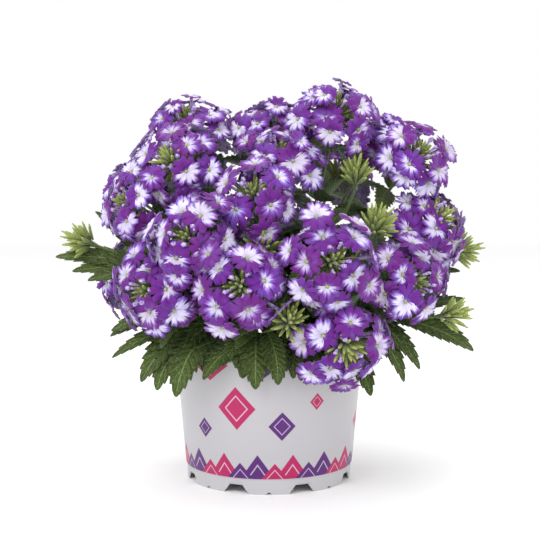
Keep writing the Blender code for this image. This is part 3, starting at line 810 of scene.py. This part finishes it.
def neck_leaves(owner, hub, outward):
    """Two pairs of leaves close below a head, which fill the room between it and its neighbours."""
    chance = random.Random(owner + " neck")
    lie = frame_at(hub, outward).to_3x3()
    first = chance.uniform(0, 180)
    grown = []
    for depth, turn in ((17, 0), (17, 180), (29, 90), (29, 270)):
        node_at = hub - outward * (depth + chance.uniform(-2, 2)) * MM
        length = chance.uniform(28, 37) * MM
        tip = node_at + lie @ polar(length, chance.uniform(62, 78), first + turn + chance.uniform(-15, 15))
        if tip.z > POT_HEIGHT - 8 * MM:
            base, width = rooted(node_at, tip), length * chance.uniform(0.48, 0.6)
            grown.append(leaf_of(base, tip, 4 * MM, width, chance.uniform(0, 0.8), chance))
    return grown


def is_clear(base, tip, heads):
    """Whether a leaf from base to tip keeps out of the pot and out of the domes of all the heads."""
    for share in (0.55, 0.8, 1):
        point = base.lerp(tip, share)
        over_wall = Vector(point[:2]).length > 50 * MM
        if point.z < SOIL_MIDDLE + 4 * MM or (over_wall and point.z < POT_HEIGHT + 3 * MM):
            return False
        for into in heads:
            local = into @ point
            if local.z > 2 * MM and (local - Vector((0, 0, DOME_MIDDLE))).length < DOME_RADIUS:
                return False
    return True


# Shapes


def mesh_of(name, bm):
    """A mesh from a bmesh, which is used up."""
    mesh = bpy.data.meshes.new(name)
    bm.to_mesh(mesh)
    bm.free()
    return mesh


def object_of(name, bm, materials, slot, *replaced):
    """A smooth piece from a bmesh, which stands for the given solids."""
    mesh = mesh_of(name, bm)
    mesh.shade_smooth()
    obj = bpy.data.objects.new(name, mesh)
    bpy.context.scene.collection.objects.link(obj)
    for material in materials:
        mesh.materials.append(material)
    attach(obj, "root")
    if replaced:
        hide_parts(*replaced)
    return obj


def values_of(bm):
    """The numbers that the mesh carries for its materials."""
    return {
        name: bm.verts.layers.float.get(name) or bm.verts.layers.float.new(name)
        for name in ("reach", "across", "under", "pale", "tint")
    }


def set_values(vert, values, **numbers):
    """Gives a point some of the numbers that the materials read."""
    for name, number in numbers.items():
        vert[values[name]] = number


def set_material(verts, index):
    """Gives the faces at these points one of the piece's materials."""
    for face in {face for vert in verts for face in vert.link_faces}:
        face.material_index = index


def blade(columns, rows):
    """A flat sheet as a mesh: X runs from -1 to 1 across it, Y from 0 to 1 along it, and Z is 0 above it or
    -1 below."""
    bm = bmesh.new()
    bmesh.ops.create_grid(bm, x_segments=columns, y_segments=rows, size=1)
    bmesh.ops.translate(bm, verts=bm.verts, vec=(0, 1, 0))
    bmesh.ops.scale(bm, verts=bm.verts, vec=(1, 0.5, 1))
    bm.normal_update()
    bmesh.ops.solidify(bm, geom=bm.faces[:], thickness=1)
    bmesh.ops.recalc_face_normals(bm, faces=bm.faces)
    low = min(vert.co.z for vert in bm.verts)
    high = max(vert.co.z for vert in bm.verts)
    for vert in bm.verts:
        vert.co.z = 0 if vert.co.z > (low + high) / 2 else -1
    return mesh_of("blade", bm)


def copy_of(mesh):
    """A bmesh of its own from a mesh, with the numbers that its materials read."""
    bm = bmesh.new()
    bm.from_mesh(mesh)
    return bm, values_of(bm)


def add_shape(bm, shape):
    """Adds a finished shape to a piece."""
    mesh = mesh_of("shape", shape)
    bm.from_mesh(mesh)
    bpy.data.meshes.remove(mesh)


def limb(sheet, radius, thickness, seed):
    """The flat part of a floret, a funnel of five notched petals that looks along Z. The two petals at
    either side of Y are marked as violet, and the others as white from the eye out."""
    bm = bmesh.new()
    values_of(bm)
    chance = random.Random(seed)
    for petal in range(PETALS):
        shape, values = copy_of(sheet)
        wave, lift = chance.uniform(0, 6), chance.uniform(-1.4, 1.3) * MM
        pale = chance.uniform(-0.05, 0.08) if petal < 2 else chance.uniform(0.76, 0.96)
        for vert in shape.verts:
            across, reach, under = vert.co
            edge = abs(across)
            notch = PETAL_NOTCHES[round(edge * 4)]
            out = EYE_RADIUS + (radius * (1 - notch) - EYE_RADIUS) * reach
            half = 0.9 * MM + radius * 0.4 * reach**0.75
            rise = -2 * MM * (1 - reach) ** 4 - 1.7 * MM * reach**3 + lift * reach**2
            rise += (0.75 * math.sin(across * 4.5 + wave) + 0.5 * edge - 0.45 * across) * MM * reach**1.5
            vert.co = (across * half, out, rise + under * thickness)
            set_values(vert, values, reach=reach, across=across, under=-under, pale=pale)
        turn = Matrix.Rotation(math.radians(360 * petal / PETALS - 36), 4, "Z")
        bmesh.ops.transform(shape, matrix=turn, verts=shape.verts)
        add_shape(bm, shape)
    return mesh_of("limb", bm)


def add_cone(bm, start, end, start_radius, end_radius, sides, material=0):
    """A tapered tube from start to end, with closed ends."""
    run = end - start
    place = Matrix.Translation((start + end) / 2) @ run.to_track_quat("Z", "Y").to_matrix().to_4x4()
    made = bmesh.ops.create_cone(
        bm,
        cap_ends=True,
        segments=sides,
        radius1=start_radius,
        radius2=end_radius,
        depth=run.length,
        matrix=place,
    )["verts"]
    set_material(made, material)
    return made


def add_tube(bm, points, radii, sides, square=1.0):
    """A tube along points, made by extruding a ring from each to the next. Square is the radius of every
    other point of the ring, as a share, so that four ridges run up the tube."""
    made = []
    ring = bmesh.ops.create_circle(bm, cap_ends=True, segments=sides, radius=1)["verts"]
    for index, vert in enumerate(ring):
        if index % 2:
            vert.co *= square
    edges = list({edge for vert in ring for edge in vert.link_edges})
    place = Matrix.Identity(4)
    ahead = Vector((0, 0, 1))
    rotation = Matrix.Identity(3)
    for index, (point, radius) in enumerate(zip(points, radii)):
        before = points[max(index - 1, 0)]
        after = points[min(index + 1, len(points) - 1)]
        heading = (after - before).normalized()
        rotation = ahead.rotation_difference(heading).to_matrix() @ rotation
        ahead = heading
        target = Matrix.Translation(point) @ rotation.to_4x4() @ Matrix.Scale(radius, 4)
        if index:
            grown = bmesh.ops.extrude_edge_only(bm, edges=edges)["geom"]
            ring = [part for part in grown if isinstance(part, bmesh.types.BMVert)]
            edges = [part for part in grown if isinstance(part, bmesh.types.BMEdge)]
            edges = [edge for edge in edges if all(vert in ring for vert in edge.verts)]
        bmesh.ops.transform(bm, matrix=target @ place.inverted(), verts=ring)
        place = target
        made.append(ring)
    bmesh.ops.contextual_create(bm, geom=edges)
    everything = [vert for ring in made for vert in ring]
    faces = list({face for vert in everything for face in vert.link_faces})
    bmesh.ops.recalc_face_normals(bm, faces=faces)
    return made


def smooth_line(points, steps):
    """Points through the given ones, with soft bends."""
    line = []
    for index in range(len(points) - 1):
        before = points[max(index - 1, 0)]
        start, end = points[index], points[index + 1]
        after = points[min(index + 2, len(points) - 1)]
        for step in range(steps):
            share = step / steps
            run_in, run_out = (end - before) / 2, (after - start) / 2
            line.append(
                (2 * share**3 - 3 * share**2 + 1) * start
                + (share**3 - 2 * share**2 + share) * run_in
                + (3 * share**2 - 2 * share**3) * end
                + (share**3 - share**2) * run_out
            )
    return line + [points[-1]]


def add_leaf(bm, sheet, base, tip, bulge, width, shade, roll, thickness, seed):
    """A toothed, veined leaf on a short stalk. Its teeth point forward, and its veins lie in furrows. The
    sheet has two or three rows to a tooth."""
    shape, values = copy_of(sheet)
    middle = (base + tip) / 2 + bulge
    side = (tip - base).cross(bulge.normalized() + roll).normalized()
    chance = random.Random(seed)
    wave, curl = chance.uniform(0, 6), chance.uniform(0.1, 0.4)
    length = (tip - base).length
    steps = len({round(vert.co.y, 4) for vert in shape.verts}) // LEAF_TEETH
    offsets = (0, 0.5, 0.9) if steps == 3 else (0, 0.8)
    for vert in shape.verts:
        across, place, under = vert.co
        row = round(place * steps * LEAF_TEETH)
        share = (row // steps + offsets[row % steps]) / LEAF_TEETH
        tooth = offsets[row % steps] / offsets[-1]
        swell = math.sin(math.pi * min(share, 1) ** 0.75) ** 0.65 if 0 < share < 1 else 0
        edge = abs(across)
        least = 0.7 * MM if share < 0.5 else 0.15 * MM
        half = max(width / 2 * swell * (1 - 0.23 * (1 - tooth) * edge), least)
        point = (1 - share) ** 2 * base + 2 * share * (1 - share) * middle + share**2 * tip
        run = (2 * (1 - share) * (middle - base) + 2 * share * (tip - middle)).normalized()
        up = side.cross(run)
        rise = curl * half * edge**1.5 + 0.5 * MM * math.sin(share * 9 + wave) * edge * swell
        furrow = math.cos(math.tau * (LEAF_TEETH + 1) * (share - 0.2 * edge))
        rise += 0.35 * MM * furrow * -edge * (1 - edge) * 3 * swell
        ahead = tooth * edge**3 * 0.04 * length * swell
        vert.co = point + side * across * half + up * (rise + under * thickness) + run * ahead
        set_values(vert, values, reach=share, across=across, under=-under, tint=shade)
    set_material(shape.verts, LEAF)
    add_shape(bm, shape)


def add_calyx(bm, root, tip, radius, bend, shade):
    """A narrow calyx, widest above its middle, with fine hairs."""
    shape = bmesh.new()
    values = values_of(shape)
    middle = root.lerp(tip, 0.55) + bend
    spine = [root, root.lerp(middle, 0.5), middle, middle.lerp(tip, 0.6), tip]
    rings = add_tube(shape, spine, [radius * size for size in (0.55, 0.8, 1, 0.85, 0.4)], 6)
    for ring, reach in zip(rings, (0, 0.3, 0.6, 0.85, 1)):
        for vert in ring:
            vert[values["reach"]] = reach
    for centre, ring in list(zip(spine, rings))[1:-1]:
        for vert in ring[::2]:
            way = (vert.co - centre).normalized() + (tip - root).normalized() * 0.8
            for corner in add_cone(shape, vert.co, vert.co + way * HAIR_LENGTH, HAIR_RADIUS, 0, 3):
                corner[values["reach"]] = 1
    for vert in shape.verts:
        vert[values["tint"]] = shade
    set_material(shape.verts, CALYX)
    add_shape(bm, shape)


def add_tuft(bm, name, place, young):
    """The tuft at the middle of a head: unopened buds in their calyxes, spiralling out from the hub. An
    open head has calyxes of shed florets below them."""
    chance = random.Random(name + " tuft")
    full = young or name in FULL_TUFTS
    count, length, spread = FULL_TUFT if full else OPEN_TUFT
    for bud in range(count):
        share = (bud + 0.5) / count
        turn = GOLDEN_ANGLE * bud
        root = polar(3.6 * MM * share**0.5, 90, turn) + Vector((0, 0, HUB_TOP - (1.5 + 4 * share) * MM))
        lean = spread * share**0.7 + chance.uniform(-5, 5)
        reach = length * chance.uniform(0.75, 1.1) * (1 - 0.2 * share)
        tip = root + polar(reach, lean, turn + chance.uniform(-9, 9))
        bend = -polar(0.8 * MM, 90, turn)
        calyx = (place @ root, place @ tip, chance.uniform(1, 1.35) * MM, place.to_3x3() @ bend)
        add_calyx(bm, *calyx, 1 if full else chance.uniform(0, 0.8))
    for spent in range(0 if young else SPENT_CALYXES):
        turn = GOLDEN_ANGLE * (spent + 0.5)
        root = polar(3.2 * MM, 90, turn) + Vector((0, 0, COLLAR_TOP + chance.uniform(0, 5) * MM))
        tip = root + polar(chance.uniform(11, 15) * MM, chance.uniform(48, 88), turn)
        add_calyx(bm, place @ root, place @ tip, 1.3 * MM, Vector((0, 0, 0)), 0.2)


def add_buds(bm, name, place):
    """A few rolled lilac buds that stand round the tuft and will open next."""
    chance = random.Random(name + " buds")
    for bud in range(ROLLED_BUDS):
        turn = 360 / ROLLED_BUDS * bud + chance.uniform(-25, 25)
        root = place @ (polar(4 * MM, 90, turn) + Vector((0, 0, HUB_TOP)))
        out = polar(chance.uniform(7, 10) * MM, 90, turn)
        tip = place @ (out + Vector((0, 0, HUB_TOP + chance.uniform(8, 11) * MM)))
        add_cone(bm, root, tip, 0.6 * MM, 1 * MM, 6, TUBE)
        made = bmesh.ops.create_icosphere(bm, subdivisions=2, radius=chance.uniform(1.3, 1.9) * MM)["verts"]
        for vert in made:
            vert.co *= 1 + 0.22 * math.sin(5 * math.atan2(vert.co.y, vert.co.x) + bud)
        bmesh.ops.scale(bm, vec=(1, 0.8, 1.25), verts=made)
        bmesh.ops.transform(bm, matrix=Matrix.Translation(tip) @ place.to_3x3().to_4x4(), verts=made)
        set_material(made, TUBE)


def foot_lift(turn):
    """How high the foot ring's edge stands at this turn: in an arch between two feet, or in a foot's nick."""
    share = (turn * FEET / math.tau) % 1
    off_arch = abs(share - 0.5) * math.tau / FEET * POT_FOOT_RADIUS
    arch = (ARCH_FOOT_WIDTH / 2 - off_arch) / (ARCH_FOOT_WIDTH - ARCH_TOP_WIDTH) * 2
    off_foot = min(share, 1 - share) * math.tau / FEET * POT_FOOT_RADIUS
    nick = NICK_HEIGHT if off_foot < NICK_WIDTH / 2 else 0
    return max(ARCH_HEIGHT * min(max(arch, 0), 1), nick)


def spun(profile, sides):
    """A closed solid spun round Z from profile points (radius, height), which start and end on the axis."""
    bm = bmesh.new()
    points = [bm.verts.new((radius, 0, height)) for radius, height in profile]
    edges = [bm.edges.new(pair) for pair in zip(points, points[1:])]
    bmesh.ops.spin(
        bm, geom=points + edges, cent=(0, 0, 0), axis=(0, 0, 1), angle=math.tau, steps=sides, use_merge=True
    )
    bmesh.ops.remove_doubles(bm, verts=bm.verts, dist=1e-6)
    bmesh.ops.recalc_face_normals(bm, faces=bm.faces)
    return bm


def cut_with(obj, bm):
    """Cuts the shape of a bmesh out of a piece, and clears the specks that the cut leaves."""
    cutter = bpy.data.objects.new("cutter", mesh_of("cutter", bm))
    bpy.context.scene.collection.objects.link(cutter)
    boolean = obj.modifiers.new("cut", "BOOLEAN")
    boolean.operation = "DIFFERENCE"
    boolean.object = cutter
    boolean.solver = "EXACT"
    bpy.context.view_layer.update()
    whole = bpy.data.meshes.new_from_object(obj.evaluated_get(bpy.context.evaluated_depsgraph_get()))
    obj.modifiers.clear()
    clean = bmesh.new()
    clean.from_mesh(whole)
    speck = 0.002 * MM
    bmesh.ops.remove_doubles(clean, verts=clean.verts, dist=speck)
    bmesh.ops.dissolve_degenerate(clean, edges=clean.edges, dist=speck)
    clean.to_mesh(whole)
    clean.free()
    obj.data = whole
    bpy.data.objects.remove(cutter, do_unlink=True)


# Operators


class VERBENA_OT_add_pot(bpy.types.Operator):
    """Model the moulded pot with its lip, feet, drain holes and print"""

    bl_idname = "verbena.add_pot"
    bl_label = "Add Pot"

    def execute(self, context):
        inside = POT_WALL
        soft = 0.3 * MM
        foot_inside = POT_FOOT_RADIUS - inside
        profile = (
            (0, FLOOR_UNDERSIDE),
            (foot_inside - soft, FLOOR_UNDERSIDE),
            (foot_inside, FLOOR_UNDERSIDE - soft),
            (foot_inside, soft),
            (foot_inside + soft, 0),
            (POT_FOOT_RADIUS - FOOT_SET_IN - soft, 0),
            (POT_FOOT_RADIUS - FOOT_SET_IN, soft),
            (POT_FOOT_RADIUS - 0.15 * MM, SKIRT_HEIGHT * 0.6),
            (POT_FOOT_RADIUS, SKIRT_HEIGHT),
            (POT_WAIST_RADIUS - soft / 2, SKIRT_HEIGHT),
            (POT_WAIST_RADIUS, SKIRT_HEIGHT + soft),
            (POT_TOP_RADIUS, POT_HEIGHT - LIP_HEIGHT),
            (POT_RIM_RADIUS - soft / 2, POT_HEIGHT - LIP_HEIGHT),
            (POT_RIM_RADIUS, POT_HEIGHT - LIP_HEIGHT + soft),
            (POT_RIM_RADIUS, POT_HEIGHT - soft),
            (POT_RIM_RADIUS - soft, POT_HEIGHT),
            (POT_TOP_RADIUS - inside + soft, POT_HEIGHT),
            (POT_TOP_RADIUS - inside, POT_HEIGHT - soft),
            (POT_WAIST_RADIUS - inside, FLOOR_TOP + soft),
            (POT_WAIST_RADIUS - inside - soft, FLOOR_TOP),
            (0, FLOOR_TOP),
        )
        bm = spun(profile, POT_SIDES)
        for vert in bm.verts:
            if vert.co.z < 0.5 * MM:
                vert.co.z += foot_lift(math.atan2(vert.co.x, -vert.co.y))
        pot = object_of("moulded_pot", bm, [pot_material(context.scene.verbena_pot)], "pot", "pot")
        drains = bmesh.new()
        for drain in range(DRAINS):
            middle = polar(DRAIN_RING_RADIUS, 90, 45 + 360 * drain / DRAINS)
            middle.z = FLOOR_TOP
            past_floor = Vector((0, 0, 9 * MM))
            add_cone(drains, middle - past_floor, middle + past_floor, DRAIN_RADIUS, DRAIN_RADIUS, 24)
        cut_with(pot, drains)
        pot.data.set_sharp_from_angle(angle=math.radians(40))
        return {"FINISHED"}


class VERBENA_OT_add_soil(bpy.types.Operator):
    """Fill the pot with rough potting soil, its crumbs and perlite grains"""

    bl_idname = "verbena.add_soil"
    bl_label = "Add Soil"

    def execute(self, context):
        inner = POT_WALL + SOIL_GAP
        lean = (POT_TOP_RADIUS - POT_WAIST_RADIUS) / (POT_HEIGHT - FLOOR_TOP)
        low = FLOOR_TOP + SOIL_GAP
        edge = POT_WAIST_RADIUS - inner + lean * (SOIL_EDGE - FLOOR_TOP)
        profile = [(0, low), (POT_WAIST_RADIUS - inner, low)]
        for step in range(SOIL_STEPS + 1):
            share = step / SOIL_STEPS
            profile.append((edge * (1 - share), SOIL_EDGE + (SOIL_MIDDLE - SOIL_EDGE) * share**0.7))
        bm = spun(profile, 72)
        for vert in bm.verts:
            if vert.co.z > SOIL_EDGE - 1 * MM and Vector(vert.co[:2]).length < edge - 0.5 * MM:
                lump = noise.noise(vert.co * spots(50 / 13))
                grit = noise.noise(vert.co * spots(10 / 9))
                vert.co.z += 1.2 * MM * lump + 0.5 * MM * grit
        chance = random.Random("soil")
        for crumb in range(CRUMBS):
            far = edge * 0.95 * math.sqrt(chance.random())
            place = polar(far, 90, chance.uniform(0, 360))
            place.z = SOIL_EDGE + (SOIL_MIDDLE - SOIL_EDGE) * (1 - far / edge) ** 0.7 + 0.3 * MM
            size = chance.uniform(0.8, 2.4) * MM
            made = bmesh.ops.create_icosphere(bm, subdivisions=1, radius=size)["verts"]
            for vert in made:
                vert.co *= chance.uniform(0.7, 1.2)
            bmesh.ops.scale(bm, vec=(1, chance.uniform(0.5, 1), chance.uniform(0.4, 0.8)), verts=made)
            bmesh.ops.rotate(bm, matrix=Matrix.Rotation(chance.uniform(0, 6), 3, "Z"), verts=made)
            bmesh.ops.translate(bm, vec=place, verts=made)
            if chance.random() < PERLITE_SHARE:
                set_material(made, PERLITE)
        object_of("peat_and_perlite", bm, [soil_material(), perlite_material()], "soil", "soil")
        return {"FINISHED"}


class VERBENA_OT_add_shoots(bpy.types.Operator):
    """Model the leafy stems with their leaves, calyxes and tufts of buds"""

    bl_idname = "verbena.add_shoots"
    bl_label = "Add Shoots"

    def execute(self, context):
        foliage = context.scene.verbena_foliage
        materials = [stem_material(foliage), leaf_material(foliage), calyx_material(foliage)]
        florets = floret_stances(context.scene.verbena_blooms.floret_radius)
        fine, plain = blade(6, 3 * LEAF_TEETH), blade(2, 2 * LEAF_TEETH)
        shoots = plant()
        owners = [name for name, *rest in FLOWERING]
        heads = [frame_at(*shoots[name][:2]).inverted() for name in owners]
        for owner in owners:
            bm = bmesh.new()
            values_of(bm)
            lines = {name: shoot[2] for name, shoot in shoots.items() if shoot[3] == owner}
            for name in lines:
                hub, outward, line, parent, young = shoots[name]
                place = frame_at(hub, outward)
                thin = STEM_TIP_RADIUS * 0.8
                thick = thin if young else STEM_RADIUS
                path = smooth_line(line + [hub], 4)
                last = len(path) - 1
                radii = [thick + (thin - thick) * step / last for step in range(len(path))]
                for height, size in HUB_SHAPE:
                    path.append(hub + outward * height * MM)
                    radii.append(size)
                add_tube(bm, path, radii, 8, 0.8)
                add_tuft(bm, name, place, young)
                if not young:
                    for root, stance, size, tint, kind in florets[name]:
                        run = (stance.translation - root).normalized()
                        add_calyx(bm, root, root + run * 11 * MM, 1.5 * MM, Vector((0, 0, 0)), 0.4)
            leaves = solid_leaves(owner, lines) + listed_leaves(SIDE_LEAVES, lines)
            spare = spare_leaves(owner, lines, foliage.spare_leaves, heads)
            spare += rim_leaves(owner, lines[owner]) + neck_leaves(owner, shoots[owner][0], shoots[owner][1])
            for index, leaf in enumerate(leaves + spare):
                sheet = fine if index < len(leaves) else plain
                add_leaf(bm, sheet, *leaf, foliage.leaf_thickness, f"{owner} {index}")
            object_of(owner + "_shoot", bm, materials, "foliage", owner + "_stem")
        return {"FINISHED"}


class VERBENA_OT_add_florets(bpy.types.Operator):
    """Model the florets of every head, with their tubes, eyes and rolled buds"""

    bl_idname = "verbena.add_florets"
    bl_label = "Add Florets"

    def execute(self, context):
        blooms = context.scene.verbena_blooms
        materials = [petal_material(blooms), tube_material(), eye_material(blooms)]
        sheet = blade(8, 3)
        limbs = [limb(sheet, blooms.floret_radius, blooms.petal_thickness, seed) for seed in range(LIMBS)]
        for name, place, bearing, rise in FLOWERING:
            bm = bmesh.new()
            values_of(bm)
            chance = random.Random(name + " petals")
            for root, stance, size, tint, kind in floret_stances(blooms.floret_radius)[name]:
                shape, values = copy_of(limbs[kind])
                violet = chance.uniform(0.1, 0.45) if chance.random() < 0.5 else chance.uniform(-0.1, 0.1)
                for vert in shape.verts:
                    vert[values["tint"]] = tint
                    if vert[values["pale"]] > 0.3:
                        vert[values["pale"]] -= violet
                bmesh.ops.transform(shape, matrix=stance @ Matrix.Scale(size, 4), verts=shape.verts)
                add_shape(bm, shape)
                neck = stance @ Vector((0, 0, EYE_FOOT))
                add_cone(bm, root, neck, 0.7 * MM, 1.2 * MM, 8, TUBE)
                add_cone(bm, neck, stance @ Vector((0, 0, EYE_TOP)), 1.2 * MM, 1 * MM, 8, EYE)
            add_buds(bm, name, frame_at(Vector(place) * MM, facing(bearing, rise)))
            object_of(name + "_florets", bm, materials, "petals", name + "_bloom")
        return {"FINISHED"}


class VERBENA_OT_add_studio(bpy.types.Operator):
    """Set up the floor, the soft lights and the camera"""

    bl_idname = "verbena.add_studio"
    bl_label = "Add Studio"

    def execute(self, context):
        studio = context.scene.verbena_studio
        bm = bmesh.new()
        bmesh.ops.create_grid(bm, x_segments=1, y_segments=1, size=4)
        floor = bpy.data.objects.new("floor", mesh_of("floor", bm))
        context.scene.collection.objects.link(floor)
        floor.data.materials.append(floor_material(studio))
        for name, place, size, power in LIGHTS:
            data = bpy.data.lights.new(name, "AREA")
            data.size = size
            data.energy = power
            light = bpy.data.objects.new(name, data)
            light.location = place
            light.rotation_euler = (Vector(LIGHTS_AIM) - Vector(place)).to_track_quat("-Z", "Y").to_euler()
            context.scene.collection.objects.link(light)
        world = bpy.data.worlds.new("studio")
        world.use_nodes = True
        background = world.node_tree.nodes["Background"]
        background.inputs["Color"].default_value = (*linear("#FFFFFF"), 1)
        background.inputs["Strength"].default_value = 1.0
        context.scene.world = world
        context.scene.view_settings.view_transform = "Standard"
        data = bpy.data.cameras.new("camera")
        data.sensor_width = 36
        data.lens = CAMERA_LENS
        data.shift_x = CAMERA_SHIFT
        camera = bpy.data.objects.new("camera", data)
        camera.location = (0, -studio.camera_distance, studio.camera_height)
        camera.rotation_euler = (math.radians(90) - CAMERA_DIP, 0, 0)
        context.scene.collection.objects.link(camera)
        context.scene.camera = camera
        return {"FINISHED"}


class VERBENA_PT_pieces(bpy.types.Panel):
    """Lists the steps that dress the verbena"""

    bl_idname = "VERBENA_PT_pieces"
    bl_label = "Potted Verbena"
    bl_space_type = "VIEW_3D"
    bl_region_type = "UI"
    bl_category = "Verbena"

    def draw(self, context):
        for operator in OPERATORS:
            self.layout.operator(operator.bl_idname)


SETTINGS = {
    "verbena_blooms": BloomSettings,
    "verbena_foliage": FoliageSettings,
    "verbena_pot": PotSettings,
    "verbena_studio": StudioSettings,
}
OPERATORS = (
    VERBENA_OT_add_studio,
    VERBENA_OT_add_pot,
    VERBENA_OT_add_soil,
    VERBENA_OT_add_shoots,
    VERBENA_OT_add_florets,
)


def register():
    for group in SETTINGS.values():
        bpy.utils.register_class(group)
    for name, group in SETTINGS.items():
        setattr(bpy.types.Scene, name, bpy.props.PointerProperty(type=group))
    for operator in OPERATORS:
        bpy.utils.register_class(operator)
    bpy.utils.register_class(VERBENA_PT_pieces)


def unregister():
    bpy.utils.unregister_class(VERBENA_PT_pieces)
    for operator in reversed(OPERATORS):
        bpy.utils.unregister_class(operator)
    for name, group in SETTINGS.items():
        delattr(bpy.types.Scene, name)
        bpy.utils.unregister_class(group)


def main():
    register()
    bpy.ops.verbena.add_studio()
    bpy.ops.verbena.add_pot()
    bpy.ops.verbena.add_soil()
    bpy.ops.verbena.add_shoots()
    bpy.ops.verbena.add_florets()


if __name__ == "__main__":
    main()
